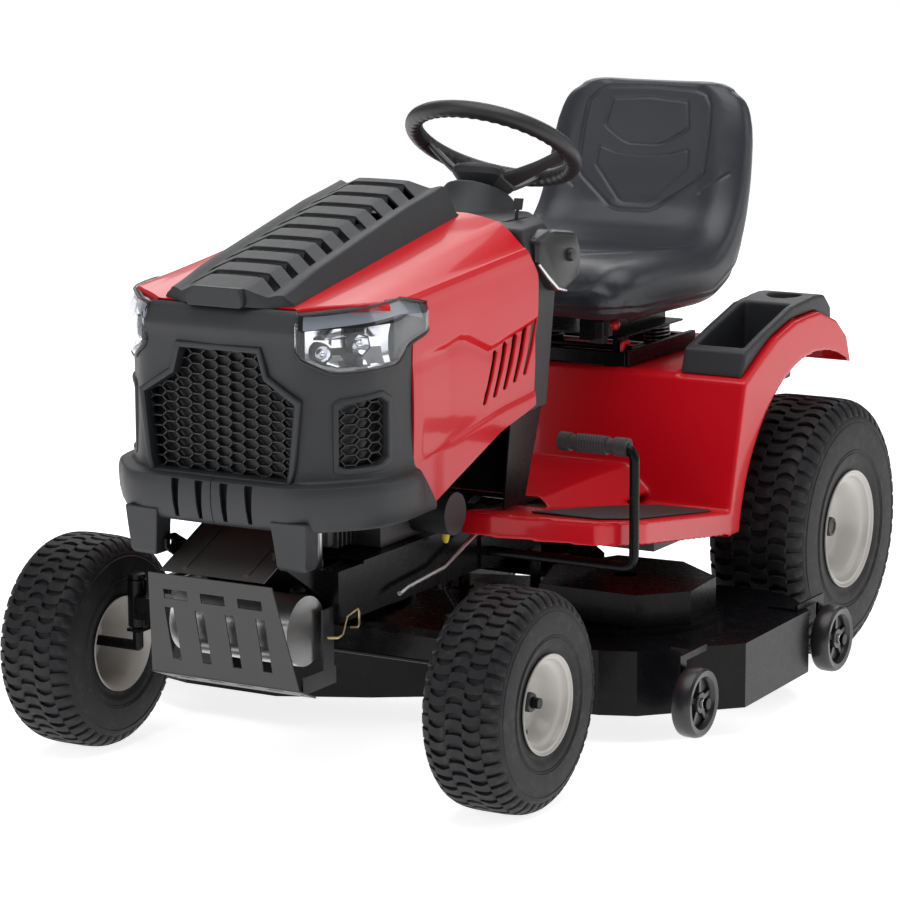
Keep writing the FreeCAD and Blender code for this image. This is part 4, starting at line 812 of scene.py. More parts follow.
# rolled vent lips
lips = Build()
for y0, z0, more in VENTS:
    for s in (1, -1):
        path = [mm(s * 242, y0 + 10, z0 + 3), mm(s * 244, y0 + 30, z0 + 46),
                mm(s * 242, y0 + 50, z0 + 88 + more)]
        lips.tube(path, 0.0026, 10)
put("hood_vent_lips", lips, "hood", RED, smooth=60)


# ------------------------------------------------------------------ nose
def rounded(points, radius, count=7):
    """Polyline with its inner corners rounded."""
    out = [np.array(points[0], float)]
    for i in range(1, len(points) - 1):
        p, a, c = (np.array(points[j], float) for j in (i, i - 1, i + 1))
        r = radius[i - 1] if isinstance(radius, (list, tuple)) else radius
        ua, uc = (a - p) / np.linalg.norm(a - p), (c - p) / np.linalg.norm(c - p)
        for t in np.linspace(0, 1, count):
            out.append(p + ua * r * (1 - t) ** 2 + uc * r * t ** 2)
    out.append(np.array(points[-1], float))
    return np.array(out)


PLAN = rounded([(0, -843), (162, -838), (238, -752), (250, -690), (250, -520)], [34, 28, 24], 9)
PLAN_S = np.concatenate([[0], np.cumsum(np.hypot(*np.diff(PLAN, axis=0).T))])


def wrap(s, z, off=0.0):
    """Point on the nose: a length round it from the centreline, a height, a distance outward; in metres."""
    sign = -1.0 if s < 0 else 1.0
    s = abs(s)
    at = np.array([np.interp(s, PLAN_S, PLAN[:, k]) for k in (0, 1)])
    ahead = np.array([np.interp(s + 4, PLAN_S, PLAN[:, k]) for k in (0, 1)])
    back = np.array([np.interp(max(s - 4, 0), PLAN_S, PLAN[:, k]) for k in (0, 1)])
    way = (ahead - back) / max(np.linalg.norm(ahead - back), 1e-9)
    x, y = at + np.array([way[1], -way[0]]) * off
    return mm(sign * x, y, z)


LAMP_S = np.unique(np.concatenate([np.linspace(148, 444, 37), PLAN_S[(PLAN_S > 148) & (PLAN_S < 444)]]))


# the lamp opening's lower and upper edges over the length round the nose
def lamp_low(s):
    return np.interp(s, [148, 156, 166, 204, 220, 327, 348, 360, 372, 384, 428, 444],
                     [786, 774, 768, 750, 748, 751, 754, 764, 776, 781, 790, 796])


def lamp_high(s):
    return np.interp(s, [148, 266, 364, 380, 444], [851, 859, 864, 862, 847])


# the fascia's section from its top edge down: heights, and distances out from the nose's plan
CHIN = [(852, -17), (848, -11), (840, -7), (826, -1), (820, 2.6), (815, 3.0), (808, 1.0), (795, -1),
        (760, -3), (700, -3.5), (640, -3), (590, -1.5), (574, 0), (570, 1.5), (567, 6), (566, 20), (563, 25),
        (557, 27), (546, 28), (520, 26.5), (500, 22), (492, 18), (487, 10), (486, -2)]


def inside(point, poly):
    """Whether a point lies in a closed outline."""
    x, z = point
    hit = False
    n = len(poly)
    for i in range(n):
        (x1, z1), (x2, z2) = poly[i], poly[(i + 1) % n]
        if (z1 > z) != (z2 > z) and x < (x2 - x1) * (z - z1) / (z2 - z1) + x1:
            hit = not hit
    return hit


def grown(points, size):
    """Closed outline moved outward by a size."""
    p = np.array(points, float)
    n = len(p)
    c = p.mean(axis=0)
    out = []
    for i in range(n):
        a, m, d = p[i - 1], p[i], p[(i + 1) % n]
        n1 = np.array([(m - a)[1], -(m - a)[0]]) / np.linalg.norm(m - a)
        n2 = np.array([(d - m)[1], -(d - m)[0]]) / np.linalg.norm(d - m)
        if n1 @ (m - c) < 0:
            n1, n2 = -n1, -n2
        mid = (n1 + n2) / np.linalg.norm(n1 + n2)
        out.append(m + mid * size / max(0.5, mid @ n1))
    return out


GRILLE = [(132, 568), (138, 590), (150, 700), (90, 737), (77, 781), (-77, 781), (-90, 737), (-150, 700),
          (-138, 590), (-132, 568)]


# the small grille beside the main one: its edges over the length round the nose
def side_low(s):
    return np.interp(s, [218, 230, 300, 320], [592, 586, 588, 600])


def side_high(s):
    return np.interp(s, [218, 228, 300, 320], [690, 698, 706, 694])


SIDE_S = np.linspace(218, 320, 12)
CHIN_Z, CHIN_OFF = zip(*CHIN[::-1])


def fascia_end(z):
    """Length round the nose at which the fascia stops, at a height."""
    return PLAN_S[-1] + 520 + np.interp(z, [484, 500, 574, 740], [-560, -566, -628, -622])


def fascia():
    """Skin laid out flat, as length round the nose against height, pierced there, then wrapped round."""
    bm = bmesh.new()
    base = np.unique(np.concatenate([np.linspace(0, 360, 46), PLAN_S[PLAN_S < 360]]))
    grid = []
    for z, _ in CHIN:
        across = list(base) + list(np.linspace(360, fascia_end(z), 5)[1:])
        grid.append([bm.verts.new((s, z, 0)) for s in across])
    for up, down in zip(grid, grid[1:]):
        for j in range(len(up) - 1):
            bm.faces.new((up[j], up[j + 1], down[j + 1], down[j]))
    holes = [[(x, z) for x, z in grown(GRILLE, 1) if x > 0] + [(-5, 782), (-5, 567)],
             [(s, side_low(s)) for s in SIDE_S] + [(s, side_high(s)) for s in SIDE_S[::-1]],
             [(s, lamp_low(s)) for s in LAMP_S[::2]] + [(444, 900), (148, 900)]]
    for x in (24, 72):
        holes.append([(x - 4, 496), (x + 4, 496), (x + 8, 562), (x - 8, 562)])
    for hole in holes:
        p = np.array(hole)
        low, high = p.min(axis=0) - 4, p.max(axis=0) + 4
        for i in range(len(p)):
            a, d = p[i - 1], p[i]
            faces = [f for f in bm.faces
                     if any(low[0] < v.co.x < high[0] and low[1] < v.co.y < high[1] for v in f.verts)]
            rims = {e for f in faces for e in f.edges}
            corners = {v for f in faces for v in f.verts}
            bmesh.ops.bisect_plane(bm, geom=[*faces, *rims, *corners], dist=0.02, plane_co=(a[0], a[1], 0),
                                   plane_no=(d[1] - a[1], a[0] - d[0], 0))
        gone = [f for f in bm.faces if inside(f.calc_center_median()[:2], hole)]
        bmesh.ops.delete(bm, geom=gone, context="FACES")
    b = Build()
    bm.verts.index_update()
    for v in bm.verts:
        s, z = v.co.x, v.co.y
        off = np.interp(z, CHIN_Z, CHIN_OFF)
        if off > 4 and s > 360:
            off *= 1 - 0.7 * step(s, 360, fascia_end(z))
        b.v.append(wrap(s, z, off))
    b.f += [tuple(v.index for v in f.verts) for f in bm.faces]
    bm.free()
    return sheet("fascia", b.mirrored(), "hood", CHARCOAL, 0.0042, (0, -0.6, 0.66), ["front_fascia"])


nose = fascia()
edges(nose, 0.0012, 2, 40)

legs = Build()
for sign in (1, -1):
    rings = []
    for z, y0, y1, x0, x1 in ((506, -866, -820, 112, 180), (470, -862, -818, 116, 178),
                              (428, -858, -814, 120, 174), (422, -852, -818, 124, 170)):
        rings.append([mm(sign * x, y, z) for x, y in ((x0, y0), (x1, y0 + 4), (x1, y1), (x0, y1))])
    legs.rings(rings)
put("fascia_legs", legs, "hood", CHARCOAL, bevel=0.003, segments=3)
frames = Build()
rings = []
for size, y in ((10, -838.5), (8, -843.5), (6, -845.0), (2, -845.0), (-1, -843), (-4, -822)):
    rings.append([mm(x, y, z) for x, z in grown(GRILLE, size)])
frames.rings(rings, cap=False)
frames_ob = put("grille_surround", frames, "hood", CHARCOAL, merge=0.0001, smooth=30)
face_out(frames_ob.data, centre=(0, -0.7, 0.67))
thick = frames_ob.modifiers.new("sheet", "SOLIDIFY")
thick.thickness = 0.002
thick.offset = -1


def side_ring(size):
    """Small grille's outline, grown by a size."""
    pts = []
    low = [(s, side_low(s) - size) for s in SIDE_S]
    high = [(s, side_high(s) + size) for s in SIDE_S[::-1]]
    mid = (218 + 320) / 2
    for s, z in low + high:
        pts.append((mid + (s - mid) * (1 + size / 51.0), z))
    return pts


side_frames = Build()
for sign in (1, -1):
    rings = []
    for size, off in ((9, -3.5), (7, 0.5), (5, 1.2), (0, 1.0), (-2, -1), (-4, -20)):
        rings.append([wrap(sign * s, z, off) for s, z in side_ring(size)])
    side_frames.rings(rings, cap=False)
put("side_grille_surrounds", side_frames, "hood", CHARCOAL, smooth=30)


def honeycomb(b, place, poly, wide, tall, bar, front, back):
    """Bars of a stretched hexagon lattice inside an outline."""
    p = np.array(poly)
    low, high = p.min(axis=0), p.max(axis=0)
    seen = set()
    col_w, row_h = wide * 0.75, tall
    cols = int((high[0] - low[0]) / col_w) + 3
    rows = int((high[1] - low[1]) / row_h) + 3
    mid = (low + high) / 2
    for c in range(-cols // 2 - 1, cols // 2 + 2):
        for r in range(-rows // 2 - 1, rows // 2 + 2):
            cx = mid[0] + c * col_w
            cz = mid[1] + r * row_h + (row_h / 2 if c % 2 else 0)
            hexa = [(cx - wide / 2, cz), (cx - wide / 4, cz + tall / 2), (cx + wide / 4, cz + tall / 2),
                    (cx + wide / 2, cz), (cx + wide / 4, cz - tall / 2), (cx - wide / 4, cz - tall / 2)]
            for i in range(6):
                a, d = hexa[i], hexa[(i + 1) % 6]
                key = tuple(sorted([(round(a[0], 1), round(a[1], 1)), (round(d[0], 1), round(d[1], 1))]))
                m = ((a[0] + d[0]) / 2, (a[1] + d[1]) / 2)
                if key in seen or not inside(m, poly):
                    continue
                seen.add(key)
                ux, uz = d[0] - a[0], d[1] - a[1]
                size = math.hypot(ux, uz)
                ux, uz = ux / size, uz / size
                nx, nz = -uz * bar / 2, ux * bar / 2
                a2, d2 = (a[0] - ux, a[1] - uz), (d[0] + ux, d[1] + uz)
                ring = [[place(q[0] + nx * w, q[1] + nz * w, o) for w, o in
                         ((1, back), (0.7, front), (-0.7, front), (-1, back))] for q in (a2, d2)]
                b.rings(ring)


mesh = Build()
honeycomb(mesh, lambda u, v, o: mm(u, -824 - o, v), grown(GRILLE, 2), 35, 17, 2.8, 4, -6)
for sign in (1, -1):
    honeycomb(mesh, lambda u, v, o: wrap(sign * u, v, o - 14),
              [(216, 584), (218, 704), (322, 704), (322, 584)], 35, 17, 2.6, 4, -6)
put("grille_honeycomb", mesh, "hood", BLACK_PLASTIC, ["grille_mesh"], smooth=25)
# black plastic sheets behind the main and side grilles and behind the bumper slots: painted shade, a dark
# sheet standing in for the shaded space behind the openings
shade_baffle = Build()
back = [-356, -320, -260, -200, -160, -120, 0, 120, 160, 200, 260, 320, 356]
shade_baffle.rings([[wrap(s, z, -26) for s in back] + [wrap(s, z, -32) for s in back[::-1]] for z in (500, 786)])
low_back = [-150, -100, 0, 100, 150]
shade_baffle.rings([[wrap(s, z, 10) for s in low_back] + [wrap(s, z, 3) for s in low_back[::-1]]
              for z in (489, 564)])
put("grille_shade_baffle", shade_baffle, "hood", BLACK_PLASTIC)


# ------------------------------------------------------------------ lamps
def lamp_bar(build, sign, stations, corners):
    """Bar across a lamp; its corners are heights over the lower edge or under the upper one, and depths."""
    build.rings([[wrap(sign * s, (lamp_low(s) if h > 0 else lamp_high(s)) + h, off) for h, off in corners]
                 for s in stations])


LENS_CREASE = 0.60  # share of the lens's height above which it leans back
lens_glass, bezel, chrome, dark, frost = Build(), Build(), Build(), Build(), Build()
for sign in (1, -1):
    rows = []
    for v in np.linspace(0, 1, 15):
        row = []
        for s in LAMP_S:
            lo, hi = lamp_low(s) + 2, lamp_high(s) - 1
            off = 4.5 - 14 * step(v, LENS_CREASE, 1.35) * 1.6 if v > LENS_CREASE else 4.5
            edge_in = min(1.0, min(v, 1.0) / 0.06 + 0.25, (s - 147) / 5 + 0.1, (445 - s) / 5 + 0.1)
            row.append(wrap(sign * s, lo + (hi - lo) * v, off * edge_in if off > 0 else off))
        rows.append(row)
    lens_glass.rings(rows, close_u=False)
    # dark tray behind the lens
    rows = []
    for v in np.linspace(0, 1, 13):
        row = []
        for s in LAMP_S:
            lo, hi = lamp_low(s) + 1, lamp_high(s) - 2
            wall = min(1.0, (s - 148) / 10, (444 - s) / 10, v / 0.10, (1 - v) / 0.45)
            row.append(wrap(sign * s, lo + (hi - lo) * v, -3 - 32 * max(0.0, wall) ** 0.5))
        rows.append(row)
    dark.rings(rows, close_u=False)
    # seal round the outside
    ring = [(s, lamp_low(s)) for s in LAMP_S] + [(s, lamp_high(s)) for s in LAMP_S[::-1]]
    path = [wrap(sign * s, z if z < 835 else z - 5, -1 if z < 835 else -13) for s, z in ring]
    bezel.tube(path + [path[0]], 0.0034, 10)
    # faceted reflector, its small bowl and bulb, and the frosted band over it
    across = [164, 180, 198, 217, 236, 258, 280, 300, 318, 332]
    facets = []
    for v in (0.0, 0.2, 0.45, 0.7, 1.0):
        row = []
        for k, q in enumerate(across):
            z_low, z_high = lamp_low(q) + 5, min(lamp_high(q) - 32, 822)
            h = z_low + (z_high - z_low) * v
            hollow = max(0.0, 1 - ((q - 252) / 86) ** 2) * max(0.0, 1 - ((h - 789) / 36) ** 2)
            row.append(wrap(sign * q, h, -6 - 26 * hollow - (2.5 if k % 2 else 0) * (0 < v < 1)))
        facets.append(row)
    chrome.rings(facets, close_u=False)
    for s0, z0, r in ((196, 782, 13), (262, 794, 17)):
        centre = Vector(wrap(sign * s0, z0, -9))
        way = (Vector(wrap(sign * s0, z0, 6)) - centre).normalized()
        prof = [(r * MM * t, r * 0.62 * (t * t - 1) * MM) for t in np.linspace(0.18, 1, 12)]
        chrome.turn(prof, centre, way, 40)
        bulb = [(0.0055 * math.sin(t), -r * 0.62 * MM + 0.006 - 0.0065 * math.cos(t))
                for t in np.linspace(0.01, 3.1, 9)]
        chrome.turn(bulb, centre, way, 20)
        cup = [mm(r, 1), mm(r + 2.5, 1.5), mm(r + 3.5, -4), mm(r + 4.0, -16)]
        bezel.turn(cup, centre, way, 6 if r > 15 else 24)
    lamp_bar(chrome, sign, np.linspace(168, 330, 7), ((4, -24), (4, -6), (9, -8), (14, -24)))
    lamp_bar(frost, sign, np.linspace(160, 438, 24), ((-30, -24), (-31, -7), (-8, -15), (-6, -24)))
    lamp_bar(bezel, sign, np.linspace(344, 438, 10), ((6, -26), (5, -7), (-29, -8), (-29, -26)))
lens_ob = sheet("lamp_lens", lens_glass, "hood", GLASS, 0.0022, (0, -0.6, 0.8), ["headlight_lenses"])
sharp(lens_ob, 24)
sheet("lamp_tray", dark, "hood", BLACK_PLASTIC, 0.002, (0, -0.6, 0.8))
put("lamp_seal", bezel, "hood", BLACK_PLASTIC, bevel=0.001)
put("lamp_reflector", chrome, "hood", CHROME, ["headlight_housings"], smooth=12)
put("lamp_light_guide", frost, "hood", FROST, bevel=0.001)


# ------------------------------------------------------------------ scoop
SCOOP_FRONT, SCOOP_REAR = -836, -309
LOUVRES = [-772 + 54.5 * index for index in range(9)]


def scoop_rows():
    """Half of the scoop's skin: sections across, from its nose back to the dash."""
    rows = []
    for y in np.linspace(SCOOP_FRONT, SCOOP_REAR, 60):
        r2 = (y - SCOOP_FRONT) / (SCOOP_REAR - SCOOP_FRONT)
        ridge = 23 + 39 * r2
        top = ridge + 9
        base = hood_line(y)[0] + 0.5
        near_front = 1 - step(y, SCOOP_FRONT, -690)
        near_rear = step(y, -420, SCOOP_REAR)
        pts = []
        sect = [(0, top + 1), (30, top + 0.8), (50, top), (54, top - 1.2), (80, ridge - 2.0),
                (84, ridge - 3.4), (88, ridge - 3.6), (91, ridge - 2.6), (99, ridge - 0.6), (104, ridge),
                (107, ridge - 1), (109, ridge - 4), (121, 5), (123, 2), (124, -2)]
        for x, h in sect:
            x2 = x + (4 * (1 - r2) if x > 100 else 0)
            yy = (y + near_front * np.interp(x, [0, 60, 126], [0, 4, 34])
                  + near_rear * np.interp(x, [0, 50, 106, 126], [0, 2, 26, 52]))
            b0 = base if x < 120 else hood_line(yy)[0] + 0.5
            pts.append(mm(x2, yy, b0 + h))
        rows.append(pts)
    first = [(p[0] * 0.995, p[1] - 0.0015, min(p[2], 0.850 + (p[2] - 0.850) * 0.12)) for p in rows[0]]
    lead = [(p[0] * 0.999, p[1] - 0.0012, 0.850 + (p[2] - 0.850) * 0.86) for p in rows[0]]
    tail = rows[-1]
    tail1 = [(p[0] * 0.99, p[1] + 0.006, p[2] - 0.004 if p[2] > 0.97 else p[2]) for p in tail]
    tail2 = [(p[0] * 0.97, p[1] + 0.014, 0.944 + (p[2] - 0.944) * 0.12) for p in tail]
    return [first, lead] + rows + [tail1, tail2]


scoop = sheet("scoop", Build().rings(scoop_rows(), close_u=False).mirrored(), "hood", CHARCOAL, 0.0045,
              (0, -0.5, 0.80), ["hood_scoop"])
for y in LOUVRES:
    path = [(-85, y - 17), (-52, y), (52, y), (85, y - 17)]
    louvre = Build()
    front = [mm(x, p - 9) for x, p in path]
    rear = [mm(x, p + 11) for x, p in path[::-1]]
    louvre.prism(front + rear, "z", 0.80, 1.10)
    cut(scoop, louvre)
edges(scoop, 0.0015, 3, 38)
ribs = Build()
for y in LOUVRES:
    z = hood_line(y)[0] + 32 + 39 * (y - SCOOP_FRONT) / (SCOOP_REAR - SCOOP_FRONT)
    for x in (-30, 30):
        ribs.box(mm(x - 1.2, x + 1.2), mm(y - 12, y + 14), mm(z - 18, z - 3))
    # rolled louvre lip hanging under each bar
    lip = [mm(y + 11, z - 1), mm(y + 14, z - 1), mm(y + 9, z - 17), mm(y + 6.5, z - 17)]
    ribs.prism(lip, "x", -52 * MM, 52 * MM)
put("scoop_ribs", ribs, "hood", CHARCOAL, bevel=0.0006)
tray = [(-92, -4), (-86, -26), (86, -26), (92, -4), (84, -30), (-84, -30)]
liner = Build().rings([[mm(x, y, hood_line(y)[0] + h) for x, h in tray] for y in np.linspace(-806, -262, 12)])
put("scoop_liner", liner, "hood", BLACK_PLASTIC)
badge = [(-58, 852), (-62, 858), (-62, 868), (-50, 885), (46, 885), (52, 868), (52, 858), (46, 852)]
plate = Build().rings([[mm(x * w, y, z) for x, z in badge] for y,
                       w in ((-824, 1.0), (-842, 0.99), (-845, 0.93))])
put("scoop_badge_plate", plate, "hood", CHARCOAL, bevel=0.0025, segments=3)


# ------------------------------------------------------------------ rims
RIM_FACE = [(0.0, 47), (10, 47), (19, 46), (22, 45), (23.5, 50), (26, 53), (34, 53), (43, 51), (50, 45),
            (55, 36), (60, 26), (64, 20), (66.5, 17), (69, 15.6), (72, 14.6), (74.5, 12), (76, 8.6),
            (77, 5.6), (78.6, 4.4), (80.5, 4.2), (82, 2.6), (83.2, 0.8), (84.6, 0.2), (85.5, 1.2),
            (85.3, 3.4), (83, 5.0), (80, 7.0), (78.2, 12), (78, 20)]


def rim(node, body, cap_r):
    """Dished wheel disc with its flange just inside the tyre's width, a hub cap and a valve stem."""
    (_, cy, cz), _, flange = wheel_box(node)
    (cx, _, _), half, _ = wheel_box(node.replace("rim", "tyre"))
    half -= 0.0008
    k = flange / 0.0855
    side = 1 if cx > 0 else -1
    way = (side, 0, 0)
    stretch = 1.15 if k > 1.2 else 1
    b = Build()
    outer = [(r * k, half - a * MM * stretch) for r, a in RIM_FACE]
    inner = [(78 * k, -half + 0.020), (80 * k, -half + 0.007), (85.3 * k, -half + 0.0034), (85 * k, -half),
             (80 * k, -half + 0.004), (76 * k, -half + 0.010), (70 * k, -half + 0.020),
             (66 * k, -half + 0.040), (64 * k, half - 0.056), (52 * k, half - 0.064), (24 * k, half - 0.060),
             (16 * k, half - 0.070), (0.0, half - 0.070)]
    b.turn([(r * MM, a) for r, a in outer + inner], (cx, cy, cz), way, 96)
    ob = put(node.replace("_rim", "_dished_rim"), b, body, RIM, [node], smooth=32, merge=0.00002)
    cap = Build()
    depth = half - 47 * stretch * MM
    c = cap_r * MM
    cap.turn([(c, depth - 0.004), (c, depth + 0.012), (c * 0.94, depth + 0.0155), (c * 0.62, depth + 0.0165),
              (c * 0.58, depth + 0.0145), (0.0, depth + 0.0145)], (cx, cy, cz), way, 40)
    # valve stem
    r = 60 * k * MM
    top = depth + 0.020
    cap.tube([(cx + side * (top - 0.024), cy - r * 0.5, cz - r * 0.8),
              (cx + side * top, cy - r * 0.45, cz - r * 0.72)],
             [0.0052, 0.0036], 12)
    put(node.replace("_rim", "_hub_cap"), cap, body, BLACK_PLASTIC, smooth=40)
    return ob


rim("front_rim_left", "wheel_fl", 17)
rim("front_rim_right", "wheel_fr", 17)
rim("rear_rim_left", "wheel_rl", 19)
rim("rear_rim_right", "wheel_rr", 19)


# ------------------------------------------------------------------ gauge wheels
def gauge(node, body):
    """Deck roller: a ring, a thin web, a hub, five spokes and a bolt."""
    (cx, cy, cz), w, r = wheel_box(node)
    b = Build()
    side = [(r - 0.020, w - 0.008), (r - 0.016, w - 0.002), (r - 0.006, w - 0.0005), (r - 0.002, w - 0.004),
            (r, w - 0.010)]
    b.turn(side + [(a, -c) for a, c in side[::-1]] + [(r - 0.022, -w + 0.012), (r - 0.022, w - 0.012)],
           (cx, cy, cz), "x", 64, closed=True)
    web = [(r - 0.021, 0.004), (0.012, 0.004), (0.012, -0.004), (r - 0.021, -0.004)]
    b.turn(web, (cx, cy, cz), "x", 64, closed=True)
    b.turn([(0.018, w - 0.006), (0.019, w - 0.009), (0.019, -w + 0.009), (0.018, -w + 0.006),
            (0.009, -w + 0.006), (0.009, w - 0.006)], (cx, cy, cz), "x", 40, closed=True)
    for k in range(5):
        t = 2 * math.pi * k / 5 + 0.3
        c, s = math.cos(t), math.sin(t)
        ring = []
        for rad, half in ((0.016, 0.0065), (r - 0.019, 0.0045)):
            ring.append([(cx + a, cy + c * rad - s * q, cz + s * rad + c * q) for a, q in
                         ((w - 0.009, half * 0.8), (w - 0.009, -half * 0.8), (0.0, -half),
                          (-w + 0.009, -half * 0.8), (-w + 0.009, half * 0.8), (0.0, half))])
        b.rings(ring)
    put(node + "_spoked", b, body, WHEEL_PLASTIC, [node], smooth=35, bevel=0.0008)
    bolt = Build()
    for s in (1, -1):
        bolt.turn([(0.0085, s * (w - 0.007)), (0.0085, s * (w - 0.001)), (0.0075, s * w), (0.0, s * w)],
                  (cx, cy, cz), "x", 6)
    put(node + "_bolt", bolt, body, ZINC, smooth=20, bevel=0.0006)


for tag, body in (("front_left", "gauge_fl"), ("front_right", "gauge_fr"), ("rear_left", "gauge_rl"),
                  ("rear_right", "gauge_rr")):
    gauge("gauge_wheel_" + tag, body)


# ------------------------------------------------------------------ steering wheel
LEAN = math.radians(30)


def col(x, y, z):
    """Point given about the steering hub, upright, leaned back with the column; mm to m."""
    return mm(x, 50 + y * math.cos(LEAN) + z * math.sin(LEAN), 967 - y * math.sin(LEAN) + z * math.cos(LEAN))


rings = []
RIM_STEPS = 288
FINGER_GRIPS = 48
for i in range(RIM_STEPS):
    t = 2 * math.pi * i / RIM_STEPS
    ring = []
    for k in range(20):
        a = 2 * math.pi * k / 20
        under = max(0.0, math.cos(a - math.radians(215)))
        smooth = 0.15 if abs(math.sin(t - 0.14)) < 0.10 else 1.0
        r = 16.6 - 1.7 * under * (0.5 + 0.5 * math.cos(FINGER_GRIPS * t)) * smooth
        rad = 153 + r * math.cos(a)
        ring.append(col(rad * math.cos(t), rad * math.sin(t), 79 + r * math.sin(a)))
    rings.append(ring)
wheel = Build().rings(rings + [rings[0]], cap=False)
put("steering_rim_grip", wheel, "steering", BLACK_PLASTIC, ["steering_wheel"], smooth=60, merge=0.00002)
spokes = Build()
for deg, wide_in, wide_out in ((8, 30, 17), (172, 30, 17), (90, 44, 36)):
    t0 = math.radians(deg)
    rings = []
    for f in np.linspace(0, 1, 12):
        rad = 26 + (146 - 26) * f
        lift = 4 + 76 * (f ** 1.25)
        half = wide_in + (wide_out - wide_in) * min(1, f * 1.6)
        tall = 9.5 - 3.0 * f
        ring = []
        for a, q in ((-1, -0.5), (-0.8, -1), (0.8, -1), (1, -0.5), (1, 0.3), (0.72, 0.9), (0.36, 0.55),
                     (-0.36, 0.55), (-0.72, 0.9), (-1, 0.3)):
            x, y = rad, a * half
            ring.append(col(x * math.cos(t0) - y * math.sin(t0), x * math.sin(t0) + y * math.cos(t0),
                            lift + q * tall))
        rings.append(ring)
    spokes.rings(rings)
HUB = rounded([(52, -34), (52, 30), (34, 52), (-34, 52), (-52, 30), (-52, -34), (-40, -44), (40, -44),
               (52, -34)], 8, 5)[:-1]
levels = ((-16, 0.62), (-12, 0.72), (2, 0.98), (14, 1.0), (20, 0.94), (22, 0.86))
spokes.rings([[col(x * w, y * w, z) for x, y in HUB] for z, w in levels])
put("steering_spokes", spokes, "steering", CHARCOAL, bevel=0.0018, segments=3, smooth=34)
cap = Build().rings([[col(x * w, y * w, z) for x, y in HUB] for z, w in ((20, 0.80), (25, 0.78), (27, 0.70))])
put("steering_cap", cap, "steering", BLACK_PLASTIC, bevel=0.0015, segments=3)


# ------------------------------------------------------------------ pedals and levers
def bent(points, radius, bend, name, body, mat, nodes=(), sides=20):
    """Round bar along a bent path of tractor points in mm."""
    path = rounded(points, bend, 9)
    b = Build().tube([tuple(p * MM) for p in path], radius * MM, sides)
    return put(name, b, body, mat, nodes, smooth=50)


bent([(290, -180, 544), (436, -180, 544), (436, -180, 328), (131, -180, 328)], 9, 26, "brake_bar", "brake",
     BLACK, ["brake_pedal_lever"])
GRIP_AT = (0.357, -0.180, 0.544)
RIDGES = 12
grip = Build()
prof = []
for a in np.linspace(-69, 67, 120):
    f = (a + 69) / 136
    r = 16.6 if f < 0.16 or 0.26 < f < 0.70 or f > 0.80 else 13.4
    if 0.30 < f < 0.66:
        r += 0.6 * math.cos(a * 1.1)
    elif f < 0.16 or f > 0.80:
        r += 0.5 * math.cos(a * 1.3)
    prof.append(mm(r, a))
grip.turn([(0.008, -0.0690)] + prof + [(0.008, 0.067)], GRIP_AT, "x", 36)
for k in range(RIDGES):
    t = 2 * math.pi * k / RIDGES
    y, z = GRIP_AT[1] + 0.0158 * math.cos(t), GRIP_AT[2] + 0.0158 * math.sin(t)
    grip.tube([(GRIP_AT[0] - 0.030, y, z), (GRIP_AT[0] + 0.024, y, z)], 0.0014, 6)
put("brake_grip", grip, "brake", RUBBER, ["brake_pedal_pad"], smooth=45)

lever = Build().tube([(0.1555, -0.105, 0.880), (0.1555, -0.104, 0.925), (0.1555, -0.098, 0.946)], 0.0034, 12)
paddle = [(-8, -10), (8, -10), (10, 0), (8, 10), (-8, 10), (-10, 0)]
lever.rings([[mm(155.5 + x, -98 + y * 0.35 + z * 0.3, 948 + z) for x, y in paddle] for z in (-6, 4, 14)])
put("throttle_paddle", lever, "throttle", BLACK_PLASTIC, ["throttle_lever"], bevel=0.0015)

# black housing on the dash side with a silver strip
outline = rounded([(-205, 866), (-205, 905), (-150, 918), (-60, 905), (-40, 870), (-44, 822), (-100, 800),
                   (-140, 806), (-205, 866)], 12, 6)[:-1]
pod = Build().rings([[mm(x, -122 + (y + 122) * w, 860 + (z - 860) * w) for y, z in outline]
                     for x, w in ((226, 1.0), (249, 1.0), (255, 0.94), (258, 0.84))])
put("dash_pod", pod, "chassis", WHEEL_PLASTIC, bevel=0.003, segments=3)
path = [(0.2535, -0.200, 0.862), (0.257, -0.170, 0.834), (0.258, -0.140, 0.812), (0.257, -0.104, 0.803)]
strip = Build().tube(path, [0.003, 0.0045, 0.0045, 0.003], 10)
put("dash_pod_strip", strip, "chassis", ZINC, smooth=60)
knob = Build().turn([(0.012, 0.0), (0.0125, 0.008), (0.0105, 0.013), (0.0, 0.014)], (0.252, -0.088, 0.866),
                    "x", 24)
put("dash_pod_knob", knob, "chassis", BLACK_PLASTIC, smooth=40)


# ------------------------------------------------------------------ small running gear
rod = Build().tube([(0.160, -0.530, 0.322), (0.160, -0.505, 0.328), (0.160, -0.376, 0.338),
                    (0.160, -0.312, 0.360), (0.160, -0.192, 0.401)], 0.0045, 12)
put("clutch_rod", rod, "chassis", STEEL, smooth=50)
bail = Build().tube([(0.153, -0.752, 0.290), (0.158, -0.730, 0.286), (0.160, -0.716, 0.289),
                     (0.160, -0.703, 0.317), (0.160, -0.668, 0.324), (0.160, -0.664, 0.318),
                     (0.160, -0.664, 0.296), (0.160, -0.670, 0.291), (0.160, -0.690, 0.296)], 0.0022, 10)
put("guard_bail", bail, "chassis", GOLD, smooth=50)
drain = Build().turn([(0.0, 0.0), (0.004, 0.001), (0.0065, 0.008), (0.0075, 0.018), (0.0, 0.018)],
                     (0.165, -0.378, 0.382), "z", 18)
put("oil_drain_plug", drain, "chassis", YELLOW, smooth=50)
idler = Build()
idler.box((-0.115, 0.115), (0.215, 0.330), (0.187, 0.193))
wall = [(-0.115, 0.190), (0.115, 0.190), (0.115, 0.222), (0.080, 0.246), (-0.080, 0.246), (-0.115, 0.222)]
idler.prism(wall, "y", 0.322, 0.327)
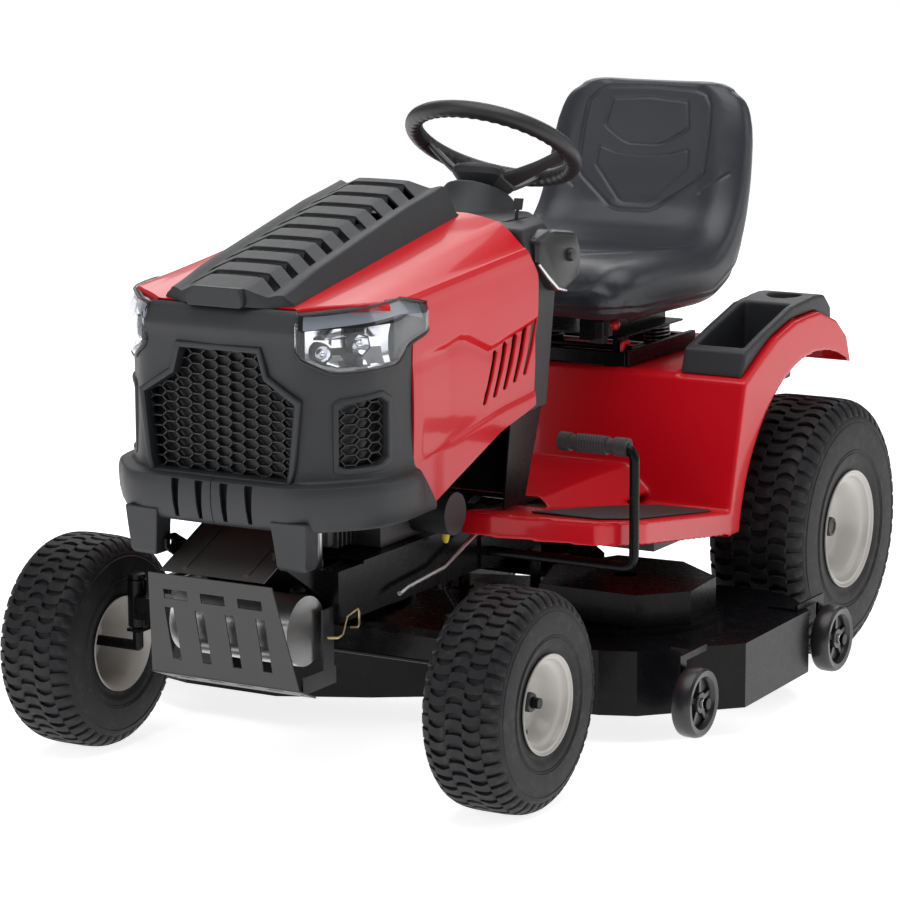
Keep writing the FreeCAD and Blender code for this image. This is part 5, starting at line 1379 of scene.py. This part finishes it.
for x in (-0.062, 0.062):
    idler.turn([(0.0, 0.0), (0.038, 0.0), (0.038, 0.004), (0.030, 0.009), (0.038, 0.014), (0.038, 0.018),
                (0.012, 0.019), (0.009, 0.027), (0.0, 0.027)], (x, 0.264, 0.199), "z", 36)
put("belt_idlers", idler, "deck", BLACK, bevel=0.0015, smooth=30)


# ------------------------------------------------------------------ studio
def studio():
    """White floor, four soft lights and a pale world."""
    low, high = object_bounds()
    mid = (Vector(low) + Vector(high)) / 2
    stuff = []
    me = bpy.data.meshes.new("studio_floor")
    reach = 40.0
    me.from_pydata([(x * reach, y * reach, 0) for x, y in ((-1, -1), (1, -1), (1, 1), (-1, 1))], [],
                   [[0, 1, 2, 3]])
    floor = bpy.data.objects.new("studio_floor", me)
    scene.collection.objects.link(floor)
    pale = start_mat("studio_floor",
                     {"Base Color": (0.86, 0.86, 0.86, 1), "Roughness": 0.8, "Specular IOR Level": 0.1,
                      "Emission Color": (1, 1, 1, 1), "Emission Strength": 0.82})[0]
    me.materials.append(pale)
    stuff.append(floor)

    def area(name, place, aim, size, power, color=(1, 1, 1)):
        light = bpy.data.lights.new(name, "AREA")
        light.shape = "RECTANGLE"
        light.size, light.size_y = size
        light.energy = power
        light.color = color
        ob = bpy.data.objects.new(name, light)
        scene.collection.objects.link(ob)
        ob.location = place
        ob.rotation_euler = (Vector(aim) - Vector(place)).to_track_quat("-Z", "Y").to_euler()
        stuff.append(ob)

    area("key_top", (mid.x + 0.4, -0.6, 4.2), (mid.x, 0, 0.3), (4.0, 4.0), 125)
    area("key_front", (mid.x - 2.2, -4.6, 2.4), (mid.x, -0.3, 0.5), (3.0, 2.6), 34)
    area("side_left", (mid.x + 4.2, 2.6, 2.6), (mid.x, 0.1, 0.5), (3.6, 2.6), 34)
    area("back_panel", (mid.x - 2.6, 5.0, 4.4), (mid.x, -0.2, 0.8), (6.5, 3.6), 140)
    world = bpy.data.worlds.new("studio")
    world.use_nodes = True
    sky = world.node_tree.nodes["Background"].inputs
    sky["Color"].default_value = (1, 1, 1, 1)
    sky["Strength"].default_value = 0.22
    scene.world = world
    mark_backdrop(*stuff)
    scene.view_settings.view_transform = "Standard"


studio()
cam_data = bpy.data.cameras.new("camera")
cam_data.lens = 139.9
cam_data.sensor_width = 36.0
cam_data.clip_end = 200
cam = bpy.data.objects.new("camera", cam_data)
scene.collection.objects.link(cam)
az, el = math.radians(30.0), math.radians(10.9)
ahead = Vector((-math.sin(az) * math.cos(el), math.cos(az) * math.cos(el), -math.sin(el)))
cam.location = (3.1816 + DX, -5.5868, 1.7082)
roll = Matrix.Rotation(math.radians(-0.2), 3, "Z").to_quaternion()
cam.rotation_euler = (ahead.to_track_quat("-Z", "Y") @ roll).to_euler()
scene.camera = cam
